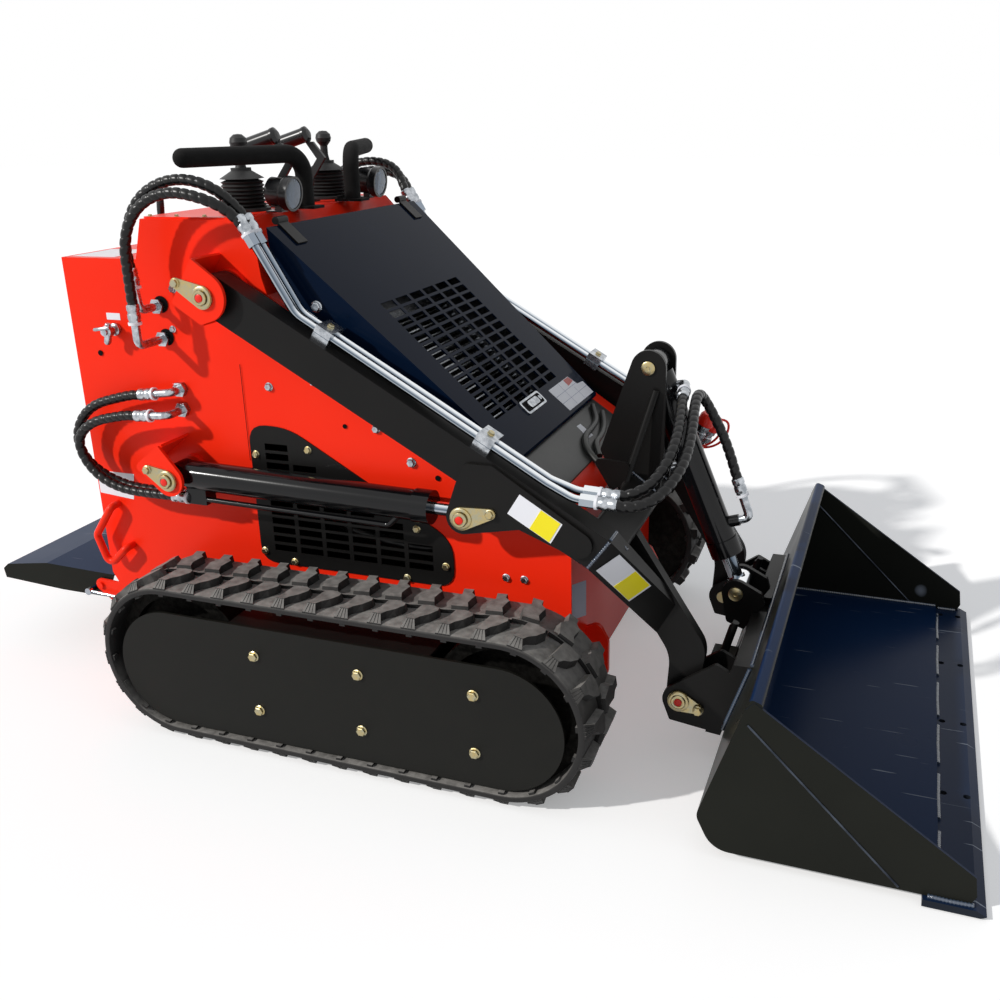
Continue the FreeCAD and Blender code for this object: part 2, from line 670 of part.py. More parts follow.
def make_arms():
    seam_low, seam_high = (516, 462), (561, 523)
    knee_low, knee_high = (624, 275), (661, 343)
    inner, outer = DIMS["arm_inner"], DIMS["arm_inner"] + DIMS["arm_width"]
    leg_in, leg_out = DIMS["leg_inner"], DIMS["leg_inner"] + DIMS["leg_plate"]
    body = new_body("arm_body")
    pad(body, "XZ_Plane", wrap((*ARM_PIVOT, 42), seam_low, seam_high), "Dims.arm_width", "Dims.arm_inner")
    pocket(body, "XZ_Plane", circle(*ARM_PIVOT, 15.3), "Dims.arm_width + 20", "Dims.arm_inner + Dims.arm_width + 10")

    rings = []
    for i, (low, high, near, far) in enumerate(((seam_low, seam_high, inner, outer),
                                                (knee_low, knee_high, leg_in, leg_out))):
        rings.append(corners_loop(f"bend_ring_{i}", [(low[0], -far, low[1]), (high[0], -far, high[1]),
                                                     (high[0], -near, high[1]), (low[0], -near, low[1])]))
    bend = doc.addObject("Part::Loft", "arm_bend")
    bend.Sections = rings
    bend.Solid = True
    bend.Ruled = True

    leg = plate("arm_leg", wrap((*BUCKET_PIN, 32), (655, 238, 70), (574, 482, 6), (528, 440, 6), (572, 208, -80)),
                "Dims.leg_inner", "Dims.leg_plate")
    beam = rounded((478, 486, 8), (545, 440, 8), (578, 488, 8), (512, 540, 8))
    beam_space = plate("beam_space", beam, "Dims.leg_inner - 10", "Dims.arm_inner - Dims.leg_inner + 14")

    low_plate = wrap((*LIFT_ROD, 34), (380, 532), (388, 550), (252, 628))
    high_plate = wrap((*LIFT_ROD, 34), (380, 529), (500, 511, 27), (322, 640, 14), (278, 640, 14), (262, 606, 14))
    plates = [plate("gusset_inner", low_plate, "Dims.arm_inner - Dims.gusset_plate", "Dims.gusset_plate"),
              plate("gusset_outer", high_plate, "Dims.arm_inner + Dims.arm_width", "Dims.gusset_plate")]
    arm = bored("arm_set", fuse("arm_solid", body, bend, leg, *plates), (LIFT_ROD, 15))
    bore = cylinder("leg_bore", BUCKET_PIN, 15.3, -leg_out - 8, -leg_in + 8)
    arm = cut("arm_fitted", cut("arm_finished", arm, bore), beam_space)
    node("arm_right", arm)
    left_of("arm_left", arm)

    stubs = []
    for i, (inner, outer) in enumerate(((346, 361.5), (413.5, 436))):
        stubs.append(cylinder(f"rod_pin_{i}", LIFT_ROD, "Dims.pin_radius", -outer, -inner))
    lock = plate("rod_pin_lock", wrap((*LIFT_ROD, 24), (322, 556, 11)), "423", "5")
    screw = hexagon("rod_pin_screw", (322, -423, 556), (322, -434, 556), 15)
    outer = fuse("rod_pin_outer", stubs[1], lock, screw)
    node("arm_pins", both("arm_pin_pair", group("arm_pins_right", stubs[0], outer)))

    cross = new_body("cross_body")
    beam = rounded((478, 486, 8), (545, 440, 8), (578, 488, 8), (512, 540, 8))
    pad(cross, "XZ_Plane", beam, "2 * Dims.arm_inner + 8", symmetric=True)
    hollow = rounded((489, 488, 4), (543, 451, 4), (566, 486, 4), (513, 528, 4))
    pocket(cross, "XZ_Plane", hollow, "2 * Dims.arm_inner + 20", symmetric=True)
    tower = wrap((*TILT_HEAD, 38), (448, 588, 10), (486, 500, 6), (560, 470, 6), (566, 560, 14))
    ears = [plate(f"tower_{i}", tower, str(y), "10") for i, y in enumerate((43, -53))]
    pin = cylinder("tower_pin", TILT_HEAD, "Dims.pin_radius", -56, 56)
    braces = [rod(f"tower_brace_{i}", (560, side * 58, 730), (504, side * 104, 520), 8)
              for i, side in enumerate((-1, 1))]
    knees = [plate(f"tower_knee_{i}", wrap((452, 574, 10), (478, 512), (510, 536), (508, 570, 10)), str(y), "8")
             for i, y in enumerate((100, -108))]
    node("cross_member", fuse("cross_set", cross, *ears, pin, *braces, *knees))

    pieces = []
    for i, y in enumerate(TUBE_PLANES):
        first, second = TUBE_START, TUBE_SECOND
        drop = 8 * i
        pieces.append(tube(f"arm_tube_{i}", [(first[0], -y, first[1]), (second[0], -y, second[1]),
                                             (425, -y, arm_top(425) + 17), (480, -y, 600 - drop),
                                             (524, -y, 598 - drop)], "Dims.tube_radius", 60))
        nut = along(first, second, 24)
        pieces.append(hexagon(f"tube_rear_nut_{i}", (first[0], -y, first[1]), (nut[0], -y, nut[1]), 24))
        pieces.append(hexagon(f"tube_front_nut_{i}", (494, -y, 599.36 - drop), (524, -y, 598 - drop), 24))
    for i, x in enumerate((-45, 293)):
        lift = V(0.498, 0.867, 0) * 30
        foot = [(x - 15, arm_top(x - 15) + 0.2), (x + 15, arm_top(x + 15) + 0.2)]
        head = [(a + lift.x, b + lift.y) for a, b in reversed(foot)]
        pieces.append(plate(f"clamp_{i}", rounded(*foot, *head), "350", "52"))
    node("arm_tubes", both("arm_tube_pair", fuse("arm_tubes_right", *pieces)))


# ---- Cylinders ------------------------------------------------------------------------------

def make_ram(name, rear, front, y, radius, gland, shaft, reach, eye):
    """Barrel with its rear eye, and rod with its front eye."""
    def spot(distance):
        x, z = along(rear, front, distance)
        return (x, y, z)

    length = math.hypot(front[0] - rear[0], front[1] - rear[1])
    half = eye / 2
    barrel = fuse(
        name + "_barrel_solid",
        rod(name + "_tube", spot(24), spot(gland), radius),
        rod(name + "_gland", spot(gland - 34), spot(gland + 4), radius + 3),
        cylinder(name + "_rear_eye", rear, 28, y - half, y + half),
    )
    hollow = fuse(
        name + "_hollow",
        rod(name + "_bore", spot(60), spot(gland + 20), shaft + 0.4),
        cylinder(name + "_rear_bore", rear, 15.3, y - half - 5, y + half + 5),
    )
    pin = cylinder(name + "_rod_pin", front, 14.6, y - half - 2, y + half + 2)
    front_eye = cylinder(name + "_front_eye", front, shaft + 11, y - half, y + half)
    shank = rod(name + "_shank", spot(max(length - shaft - 30, gland + 60)), spot(length - shaft + 4), shaft + 4)
    piston_rod = fuse(name + "_rod_solid", rod(name + "_shaft", spot(reach), spot(length), shaft), front_eye, pin, shank)
    return cut(name + "_barrel_bored", barrel, hollow), piston_rod


# Hoses to the tilt cylinder, from the tubes on the right arm to an elbow at each end of the barrel
TILT_HOSES = (
    [(524, -363, 598), (562, -363, 596.27), (592, -357, 602), (619, -334, 617), (639, -290, 648),
     (643, -225, 682), (634, -155, 707), (623.5, -92, 726.4), (618, -48, 731)],
    [(524, -389, 590), (556, -389, 588.55), (592, -386, 585), (628, -368, 594), (655, -325, 618), (668, -262, 650),
     (664, -190, 684), (654, -120, 712), (648, -58, 730), (652, -8, 712), (690, 2, 640), (712, 2, 588),
     (728.47, 2, 537), (745, 2, 492)],
)
TILT_ELBOWS = (
    [(570, 0, 724), (612, 0, 736), (618, -48, 731)],
    [(712, 2, 426.7), (763, 2, 443), (745, 2, 492)],
)


def make_cylinders():
    barrel, shaft = make_ram("lift", LIFT_REAR, LIFT_ROD, -388, 32.5, 608, 14, 150, 44)
    x, z = along(LIFT_REAR, LIFT_ROD, 45)
    port = box("lift_port", (x - 24, x + 24), (-406, -370), (z - 62, z - 24))
    line = tube("lift_line", [(x + 24, -400, z - 50), (x + 470, -400, z - 58), (x + 500, -400, z - 28)], 6, 20)
    barrel = fuse("lift_barrel_set", barrel, port, line)
    node("lift_barrel_right", barrel)
    left_of("lift_barrel_left", barrel)
    node("lift_rod_right", shaft)
    left_of("lift_rod_left", shaft)

    barrel, shaft = make_ram("tilt", TILT_HEAD, TILT_ROD, 0, 33, 455, 16, 200, 70)
    ports = [tube(f"tilt_elbow_{i}", route, 9, 14) for i, route in enumerate(TILT_ELBOWS)]
    boss = rod("tilt_port_boss", TILT_ELBOWS[1][0], toward(TILT_ELBOWS[1][0], TILT_ELBOWS[1][1], 30), 13)
    node("tilt_barrel", fuse("tilt_barrel_set", barrel, boss, *ports))
    node("tilt_rod", shaft)


# ---- Bucket ---------------------------------------------------------------------------------

def make_bucket():
    shell = new_body("bucket_shell")
    side = rounded((850, 318), (774, 84, 30), (806, 18, 50), (1240, 18), (1249, 36), (1244, 73), (888, 318, 20),
                   (866, 334))
    pad(shell, "XZ_Plane", side, "2 * Dims.bucket_side", symmetric=True)
    space = rounded((858, 345), (782, 86, 26), (810, 24, 46), (1190, 24), (1190, 10), (1300, 10), (1300, 345))
    pocket(shell, "XZ_Plane", space, "2 * (Dims.bucket_side - Dims.bucket_plate)", symmetric=True)
    lip = new_body("bucket_lip")
    pad(lip, "XZ_Plane", rounded((845, 306, 4), (868, 300, 6), (883, 331, 8), (858, 340, 8)),
        "2 * (Dims.bucket_side - 1)", symmetric=True)
    node("bucket", fuse("bucket_set", shell, lip))

    edge = new_body("edge_body")
    pad(edge, "XZ_Plane", rounded((1165, 4), (1258, 4), (1267, 9), (1250, 17.6), (1165, 17.6)),
        "2 * Dims.bucket_half", symmetric=True)
    rows = []
    for x in (1201, 1244):
        bolt_hole = pocket(edge, "XY_Plane", circle(x, -550, DIMS["edge_bolt_radius"]), "40", "30")
        row = edge.newObject("PartDesign::LinearPattern", "edge_holes")
        row.Originals = [bolt_hole]
        row.Direction = (bolt_hole.Profile[0], ["V_Axis"])
        row.setExpression("Length", "4 * Dims.edge_bolt_spacing")
        row.Occurrences = 5
        doc.recompute()
        edge.Tip = row
        rows.append(row)
    node("cutting_edge", edge)

    frame = new_body("attach_plate")
    pad(frame, "XZ_Plane", rounded((737, 76), (768, 73), (819, 240), (787, 240)), "600",
        symmetric=True)
    pocket(frame, "XZ_Plane", rounded((700, 218), (900, 218), (900, 300), (700, 300)), "75", symmetric=True)
    for side in (1, -1):
        edges = rounded((600, side * 250), (900, side * 250), (900, side * 90), (600, side * 90))
        pocket(frame, "XY_Plane", edges, "130", "215")
    ear = wrap((*BUCKET_PIN, 35), (664, 94, 4), (742, 80), (798, 226), (780, 220), (753, 224, 9))
    ears = [plate(f"attach_ear_{i}", ear, str(y), "10") for i, y in enumerate((290, 226, -236, -300))]
    rod_ear = wrap((*TILT_ROD, 31), (738, 216, 8), (770, 196), (812, 262), (800, 282, 6))
    rod_ears = [plate(f"rod_ear_{i}", rod_ear, str(y), "12") for i, y in enumerate((38, -50))]
    lock_pins = [rod(f"lock_pin_{i}", (750, side * 180, 205), (769, side * 180, 276), 9)
                 for i, side in enumerate((-1, 1))]
    brackets = [box(f"lock_bracket_{i}", (726, 775), (side * 180 - 26, side * 180 + 26), (176, 206))
                for i, side in enumerate((-1, 1))]
    frame_set = fuse("attach_solid", frame, *ears, *rod_ears, *lock_pins, *brackets)
    bores = bored("attach_set", frame_set, (TILT_ROD, 16.05))
    node("quick_attach", bored("attach_bored", bores, (BUCKET_PIN, 15.05)))

    pins = []
    for i, side in enumerate((-1, 1)):
        shaft = cylinder(f"bucket_pin_{i}", BUCKET_PIN, "Dims.pin_radius", side * 222, side * 308)
        keeper = plate(f"pin_keeper_{i}", wrap((*BUCKET_PIN, 23), (721, 127, 11)), "300" if side < 0 else "-305", "5")
        screw = hexagon(f"pin_screw_{i}", (721, side * 305, 127), (721, side * 316, 127), 15)
        pins.append(fuse(f"bucket_pin_set_{i}", shaft, keeper, screw))
    stubs = [cylinder(f"tilt_pin_{i}", TILT_ROD, 16, side * 37.5, side * 54)
             for i, side in enumerate((-1, 1))]
    node("bucket_pins", group("bucket_pin_set", *pins, *stubs))


def make_platform():
    tray = new_body("tray_body")
    outline = rounded((-1085, 187), (-1089, 212, 6), (-1072, 226, 4), (-981, 240), (-939, 246), (-729, 242),
                      (-758, 178), (-900, 178))
    pad(tray, "XZ_Plane", outline, "660", symmetric=True)
    under = rounded((-1079, 170), (-1082, 209), (-1071, 220), (-981, 234), (-939, 240), (-690, 236), (-690, 170))
    pocket(tray, "XZ_Plane", under, "648", symmetric=True)
    ball = cylinder("platform_ball", SPRING_BALL, 6, -349, -328)
    tray_set = bored("tray_bored", fuse("tray_solid", tray, ball), (PLATFORM_HINGE, 8.3))
    node("platform", tray_set)

    def spring(distance):
        x, z = along(SPRING_ANCHOR, SPRING_BALL, distance)
        return (x, -354, z)

    tube_part = cut(
        "spring_tube_bored",
        fuse("spring_tube_solid", rod("spring_tube", spring(8), spring(190), 9),
             cylinder("spring_anchor_eye", SPRING_ANCHOR, 10, -361, -349.3)),
        rod("spring_bore", spring(25), spring(200), 4.4),
    )
    node("gas_spring_barrel", tube_part)
    length = math.hypot(SPRING_BALL[0] - SPRING_ANCHOR[0], SPRING_BALL[1] - SPRING_ANCHOR[1])
    node("gas_spring_rod", fuse("spring_rod_set", rod("spring_rod", spring(150), spring(length), 4),
                                cylinder("spring_rod_eye", SPRING_BALL, 9, -360, -349.4)))


# ---- Hoses ----------------------------------------------------------------------------------

def make_hoses():
    ports, tower, ram = [], [], []
    for i, (x, z) in enumerate(((-471, 918), (-467, 847))):
        y = -404 - 24 * i
        corner, bend = (x, y, z), (-486 + 18 * i, y, 1065)
        start = toward(corner, bend, 46)
        ports.append(fuse(f"tower_port_{i}",
                          hexagon(f"tower_nut_{i}", (x, -340, z), (x, -353, z), 30),
                          tube(f"tower_elbow_{i}", [(x, -350, z), corner, start], 9, 16)))
        last = (TUBE_START[0], -TUBE_PLANES[i], TUBE_START[1])
        before = along(TUBE_START, TUBE_SECOND, -42)
        tower.append(tube(f"tower_hose_{i}", [
            start, bend, (-440 + 14 * i, y, 1150 - 18 * i), (-348, y, 1188 - 24 * i), (-254, y, 1172 - 24 * i),
            (before[0], last[1], before[1]), last], "Dims.hose_radius"))

    x, z = along(LIFT_REAR, LIFT_ROD, 45)
    for i, height in enumerate((736, 690)):
        y = -380 - 22 * i
        corner, bend = (-440, y, height), (-562, y, 722 - 40 * i)
        start = toward(corner, bend, 42)
        ports.append(fuse(f"side_port_{i}",
                          hexagon(f"side_nut_{i}", (-440, -340, height), (-440, -353, height), 30),
                          tube(f"side_elbow_{i}", [(-440, -350, height), corner, start], 9, 14)))
        ram.append(tube(f"ram_hose_{i}", [
            start, bend, (-676 + 20 * i, y, 690 - 30 * i), (-728 + 24 * i, y, 612), (-696 + 20 * i, y, 545),
            (-600, y, z - 50), (x - 24, y, z - 50)], "Dims.hose_radius"))

    tilt = []
    for i, route in enumerate(TILT_HOSES):
        points = route[:-1] + [toward(route[-1], route[-2], 0.3)]
        tilt.append(tube(f"tilt_hose_{i}", points, "Dims.hose_radius"))

    node("side_ports", both("port_pair", group("ports_right", *ports)))
    node("tower_hoses", both("tower_hose_pair", group("tower_hoses_right", *tower)))
    node("cylinder_hoses", both("cylinder_hose_pair", group("cylinder_hoses_right", *ram)))
    node("tilt_hoses", group("tilt_hose_set", *tilt))


make_undercarriage()
make_chassis()
make_brackets()
make_controls()
make_hood()
make_arms()
make_cylinders()
make_bucket()
make_platform()
make_hoses()

doc.recompute()
for item in doc.Objects:
    if "Invalid" in item.State or "Error" in item.State:
        raise ValueError(f"{item.Label} did not build: {item.State}")

os.makedirs("parts", exist_ok=True)
for label, item in nodes.items():
    shape = item.Shape
    if shape.isNull() or not shape.isValid():
        raise ValueError(f"{label} has no valid shape")
    shape.exportStep(f"parts/{label}.step")
    limits = shape.BoundBox
    print(f"{label}: {len(shape.Solids)} solids, x {limits.XMin:.0f}..{limits.XMax:.0f}, "
          f"y {limits.YMin:.0f}..{limits.YMax:.0f}, z {limits.ZMin:.0f}..{limits.ZMax:.0f}")
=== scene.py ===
# %% [markdown]
# A stand-on mini track loader: a red welded body on two rubber tracks, black lift arms, an earth bucket,
# hydraulic hoses and hand controls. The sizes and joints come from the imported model, which is the fixed
# frame. This notebook gives each part its real finish and adds what is too fine for the drawing: tread,
# screws, weld beads, hose guards, punched grilles and labels.

# %% Load the frame
import math

import bmesh
import bpy
from mathutils import Matrix, Vector
from mathutils.bvhtree import BVHTree
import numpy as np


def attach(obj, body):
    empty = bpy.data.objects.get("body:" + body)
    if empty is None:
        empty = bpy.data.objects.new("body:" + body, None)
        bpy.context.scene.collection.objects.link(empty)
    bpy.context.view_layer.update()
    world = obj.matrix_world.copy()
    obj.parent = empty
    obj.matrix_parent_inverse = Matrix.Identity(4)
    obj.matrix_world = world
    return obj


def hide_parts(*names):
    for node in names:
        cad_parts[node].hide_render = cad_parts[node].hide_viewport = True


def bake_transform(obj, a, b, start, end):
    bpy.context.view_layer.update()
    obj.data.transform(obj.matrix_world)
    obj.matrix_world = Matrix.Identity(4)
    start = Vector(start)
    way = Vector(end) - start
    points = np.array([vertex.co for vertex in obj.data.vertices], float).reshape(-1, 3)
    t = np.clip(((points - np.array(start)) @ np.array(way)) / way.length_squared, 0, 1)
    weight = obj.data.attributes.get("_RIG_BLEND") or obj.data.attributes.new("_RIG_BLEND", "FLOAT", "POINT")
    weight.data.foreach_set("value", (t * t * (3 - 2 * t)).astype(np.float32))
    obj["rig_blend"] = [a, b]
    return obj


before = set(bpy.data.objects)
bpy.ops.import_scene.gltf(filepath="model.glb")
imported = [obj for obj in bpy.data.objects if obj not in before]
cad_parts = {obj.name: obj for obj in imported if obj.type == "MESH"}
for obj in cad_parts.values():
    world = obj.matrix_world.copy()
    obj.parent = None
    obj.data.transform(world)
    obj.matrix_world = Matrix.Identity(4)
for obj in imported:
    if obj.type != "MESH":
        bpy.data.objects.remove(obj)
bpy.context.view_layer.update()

# %% [markdown]
# The drawing was made in millimetres from a datum at the middle of the machine, and the frame is in metres
# from the middle of its overall box, 89 mm further forward. One function carries a point across, so every
# size below can be read against a tape measure.

# %% Units and small helpers


def mm(x, y, z):
    """A point in drawing millimetres, as metres in the frame."""
    return Vector(((x - 89) / 1000, y / 1000, z / 1000))


def rgb(code):
    """An sRGB hex colour as linear RGBA."""
    parts = [int(code[i:i + 2], 16) / 255 for i in (1, 3, 5)]
    return [c / 12.92 if c <= 0.04045 else ((c + 0.055) / 1.055) ** 2.4 for c in parts] + [1.0]


def fill(tree, node, values):
    """Gives a node's inputs their links or plain values."""
    for key, source in values.items():
        if isinstance(source, bpy.types.NodeSocket):
            tree.links.new(source, node.inputs[key])
        else:
            node.inputs[key].default_value = source


def add(tree, kind, links=None, **settings):
    """Adds one node, sets its settings, then fills its inputs."""
    made = tree.nodes.new(kind)
    for key, value in settings.items():
        setattr(made, key, value)
    fill(tree, made, links or {})
    return made


def per(size_mm):
    """Noise scale for a pattern whose grains are size_mm across, on Object coordinates in metres."""
    return 1000 / size_mm


print("the drawing's datum is at", [round(v, 3) for v in mm(0, 0, 0)])

# %% [markdown]
# The camera stands where a person walking up to the right front of the machine would hold it, and the light
# is one broad sun with a white room round it. The white background comes from the world as the camera sees
# it. Lamps stay at a level where a colour looks as it is written.

# %% Camera, light and floor
scene = bpy.context.scene
lens = bpy.data.cameras.new("camera")
lens.lens, lens.sensor_width = 37.79, 36.0
camera = bpy.data.objects.new("camera", lens)
scene.collection.objects.link(camera)
azimuth, height, roll = math.radians(21.582), math.radians(19.99), math.radians(-1.507)
camera.rotation_euler = (Matrix.Rotation(azimuth, 3, "Z") @ Matrix.Rotation(math.pi / 2 - height, 3, "X")
                         @ Matrix.Rotation(roll, 3, "Z")).to_euler()
camera.location = (0.955, -2.197, 1.281)
scene.camera = camera
scene.view_settings.view_transform = "Standard"


def seen(tree):
    """1 for rays that show a surface to the eye, straight, through glass or in a reflection, and 0 for light."""
    rays = add(tree, "ShaderNodeLightPath")
    clear = add(tree, "ShaderNodeMath", {0: rays.outputs["Is Camera Ray"], 1: rays.outputs["Is Transmission Ray"]},
                operation="MAXIMUM")
    return add(tree, "ShaderNodeMath", {0: clear.outputs[0], 1: rays.outputs["Is Glossy Ray"]},
               operation="MAXIMUM").outputs[0]


world = bpy.data.worlds.new("studio")
scene.world = world
world.use_nodes = True
tree = world.node_tree
tree.nodes.clear()
soft = add(tree, "ShaderNodeBackground", {"Color": rgb("#EEF2F8"), "Strength": 0.4})
white = add(tree, "ShaderNodeBackground", {"Color": (1, 1, 1, 1), "Strength": 1.0})
sky = add(tree, "ShaderNodeMixShader", {0: seen(tree), 1: soft.outputs[0], 2: white.outputs[0]})
add(tree, "ShaderNodeOutputWorld", {"Surface": sky.outputs[0]})

sun = bpy.data.lights.new("sun", "SUN")
sun.energy, sun.angle, sun.color = 2.8, 0.03, (1.0, 0.98, 0.95)
lamp = bpy.data.objects.new("sun", sun)
lamp.rotation_euler = (math.radians(58), 0, math.radians(-46))
scene.collection.objects.link(lamp)

floor_mesh = bpy.data.meshes.new("floor")
floor_mesh.from_pydata([(-30, -30, 0), (30, -30, 0), (30, 30, 0), (-30, 30, 0)], [], [(0, 1, 2, 3)])
floor = bpy.data.objects.new("floor", floor_mesh)
scene.collection.objects.link(floor)
paper = bpy.data.materials.new("floor_paper")
paper.use_nodes = True
tree = paper.node_tree
tree.nodes.clear()
matt = add(tree, "ShaderNodeBsdfDiffuse", {"Color": rgb("#F4F4F4")})
glow = add(tree, "ShaderNodeEmission", {"Color": (1, 1, 1, 1), "Strength": 0.3})
lit = add(tree, "ShaderNodeAddShader", {0: matt.outputs[0], 1: glow.outputs[0]})
mixed = add(tree, "ShaderNodeMixShader", {0: seen(tree), 1: matt.outputs[0], 2: lit.outputs[0]})
add(tree, "ShaderNodeOutputMaterial", {"Surface": mixed.outputs[0]})
floor_mesh.materials.append(paper)
print("camera at", [round(v, 3) for v in camera.location])

# %% [markdown]
# **Finishes.** Nearly everything here is one of three things: powder coat, bare or plated metal, and rubber.
# Each family has one maker below, because the real ones differ only in colour, gloss and how coarse their
# skin is. Powder coat melts into a slightly rippled film ("orange peel", 1 to 3 mm across) with dust in
# flat places. Metal shows fine rubbing marks. Rubber is matt, with pale dust on whatever faces up.

# %% Powder coat and paint


def start(name):
    """A new material with its Object coordinates, principled shader and output."""
    made = bpy.data.materials.new(name)
    made.use_nodes = True
    tree = made.node_tree
    tree.nodes.clear()
    coords = add(tree, "ShaderNodeTexCoord").outputs["Object"]
    shader = add(tree, "ShaderNodeBsdfPrincipled")
    add(tree, "ShaderNodeOutputMaterial", {"Surface": shader.outputs[0]})
    return made, tree, coords, shader


def upward(tree):
    """How far a face points up, from -1 to 1."""
    return add(tree, "ShaderNodeSeparateXYZ", {0: add(tree, "ShaderNodeTexCoord").outputs["Normal"]}).outputs[2]


def paint(name, colour, shade, rough, peel=2.0, lift=0.06, coat=0.0, dust=0.0, dust_colour="#8C8578",
          scratches=0.0, level=0.5, painted_sky_colour=None):
    """Sprayed or powder-coated steel: cloudy colour, rippled skin, dust on top faces, fine scratches and, when a sky
    colour is given, a painted reflection of the sky on faces that point up.
    """
    made, tree, coords, shader = start(name)
    cloud = add(tree, "ShaderNodeTexNoise", {"Vector": coords, "Scale": per(220), "Detail": 4.0}).outputs[0]
    layers = [(cloud, shade)]
    # Faces that point up take a painted reflection of the sky in this colour.
    if painted_sky_colour:
        flat = add(tree, "ShaderNodeMapRange", {"Value": upward(tree), "From Min": 0.5, "From Max": 0.9})
        layers.append((flat.outputs[0], painted_sky_colour))
    if dust:
        grit = add(tree, "ShaderNodeTexNoise", {"Vector": coords, "Scale": per(35), "Detail": 6.0})
        up = add(tree, "ShaderNodeMapRange", {"Value": upward(tree), "From Min": -0.4, "From Max": 1.0})
        amount = add(tree, "ShaderNodeMath", {0: up.outputs[0], 1: grit.outputs[0]}, operation="MULTIPLY")
        some = add(tree, "ShaderNodeMath", {0: amount.outputs[0], 1: dust}, operation="MULTIPLY")
        layers.append((some.outputs[0], dust_colour))
    if scratches:
        run = add(tree, "ShaderNodeMapping", {"Vector": coords, "Rotation": (0.0, 0.0, 0.1),
                                              "Scale": (0.05, 1.0, 0.05)})
        lines = add(tree, "ShaderNodeTexNoise", {"Vector": run.outputs[0], "Scale": per(7), "Detail": 1.0})
        thin = add(tree, "ShaderNodeMapRange", {"Value": lines.outputs[0], "From Min": 0.73, "From Max": 0.76})
        mark = add(tree, "ShaderNodeMath", {0: thin.outputs[0], 1: scratches}, operation="MULTIPLY")
        layers.append((mark.outputs[0], "#8E96A2"))
    last = rgb(colour)
    for amount, over in layers:
        last = add(tree, "ShaderNodeMix", {"Factor": amount, 6: last, 7: rgb(over)}, data_type="RGBA").outputs[2]
    shine = add(tree, "ShaderNodeMapRange", {"Value": cloud, "To Min": rough * 0.75, "To Max": rough * 1.3})
    ripple = add(tree, "ShaderNodeTexNoise", {"Vector": coords, "Scale": per(peel), "Detail": 3.0})
    bump = add(tree, "ShaderNodeBump", {"Height": ripple.outputs[0], "Strength": lift, "Distance": 0.001})
    fill(tree, shader, {"Base Color": last, "Roughness": shine.outputs[0], "Normal": bump.outputs[0], "IOR": 1.5,
                        "Specular IOR Level": level, "Coat Weight": coat, "Coat Roughness": 0.06})
    return made


# Gloss red powder coat on welded sheet: saturated, with a thin bright reflection.
red_coat = paint("gloss_red_powder_coat", "#FF2E10", "#F6270C", 0.34, peel=3.0, lift=0.05, dust=0.05, level=0.13)
# Satin black powder coat on the arms: charcoal in the sun, soft reflection.
arm_coat = paint("satin_black_powder_coat", "#0F0F10", "#171615", 0.38, dust=0.05, dust_colour="#5A564C",
                 level=0.14)
# Gloss black enamel on the hood: deep, almost a mirror, and slightly blue from a painted reflection of the sky.
hood_coat = paint("gloss_black_enamel", "#071428", "#0A192F", 0.12, peel=6.0, lift=0.02, level=0.03)
# Black enamel in the bucket with thin drag marks, and navy on faces that point up, which is a painted reflection of the
# open sky.
bucket_coat = paint("bucket_black_enamel", "#1B1C19", "#242521", 0.30, peel=5.0, lift=0.05, level=0.05,
                    scratches=0.7, painted_sky_colour="#102748")
# The bolt-on edge wears first: black with more drag marks, and navy on faces that point up, which is a painted
# reflection of the sky.
edge_coat = paint("scuffed_edge_enamel", "#15181D", "#262C36", 0.32, peel=4.0, lift=0.08, level=0.08, scratches=1.0,
                  painted_sky_colour="#14243E")
# Weld beads take the paint thickly and glint; their blue-grey, paler than the paint, is a painted reflection of the
# sky.
weld_coat = paint("painted_weld_bead", "#25303F", "#4A586C", 0.16, peel=3.0, lift=0.1, level=0.9, coat=0.5)
# Flat black sheet over the tracks, olive with road dust.
cover_coat = paint("matt_black_sheet", "#10100E", "#171715", 0.5, dust=0.2, dust_colour="#3A382F", level=0.14)
# Smooth black cylinder paint, glossier than the arms.
ram_coat = paint("gloss_black_cylinder_paint", "#08080A", "#0F1012", 0.12, peel=4.0, lift=0.03, level=0.3)
# Black satin paint on the front flap, brushed by wiping; its grey colour is a painted reflection of the sky.
flap_coat = paint("black_satin_paint_with_painted_sky", "#2C2E2E", "#383A39", 0.3, dust=0.12, level=0.2)
print("paints:", sorted(m.name for m in bpy.data.materials if m != paper))

# %% [markdown]
# Metals keep the default IOR; colour and roughness tell them apart. Chrome tube mirrors the room and also carries a
# painted reflection in its colour, zinc plate is paler and duller with a yellow chromate tint in places, and bare steel
# shows at the bucket's folds.

# %% Metals


def rubbed(tree, shader, where, colour, rough, grain, lift):
    """Fills in a metal: its colour, and one fine grain in both its gloss and its skin."""
    fine = add(tree, "ShaderNodeTexNoise", {"Vector": where, "Scale": per(grain), "Detail": 4.0})
    shine = add(tree, "ShaderNodeMapRange", {"Value": fine.outputs[0], "To Min": rough * 0.7, "To Max": rough * 1.4})
    bump = add(tree, "ShaderNodeBump", {"Height": fine.outputs[0], "Strength": lift, "Distance": 0.0005})
    fill(tree, shader, {"Metallic": 1.0, "Base Color": colour, "Roughness": shine.outputs[0],
                        "Normal": bump.outputs[0]})


def metal(name, colour, tint, rough, streak=(1.0, 1.0, 1.0), grain=3.0, lift=0.05, patch=12.0):
    """Bare or plated metal with patches of tint and a fine rubbed grain."""
    made, tree, coords, shader = start(name)
    blotch = add(tree, "ShaderNodeTexNoise", {"Vector": coords, "Scale": per(patch), "Detail": 3.0})
    spread = add(tree, "ShaderNodeMapRange", {"Value": blotch.outputs[0], "From Min": 0.35, "From Max": 0.65})
    tone = add(tree, "ShaderNodeMix", {"Factor": spread.outputs[0], 6: rgb(colour), 7: rgb(tint)},
               data_type="RGBA")
    drawn_out = add(tree, "ShaderNodeMapping", {"Vector": coords, "Scale": streak})
    rubbed(tree, shader, drawn_out.outputs[0], tone.outputs[2], rough, grain, lift)
    return made


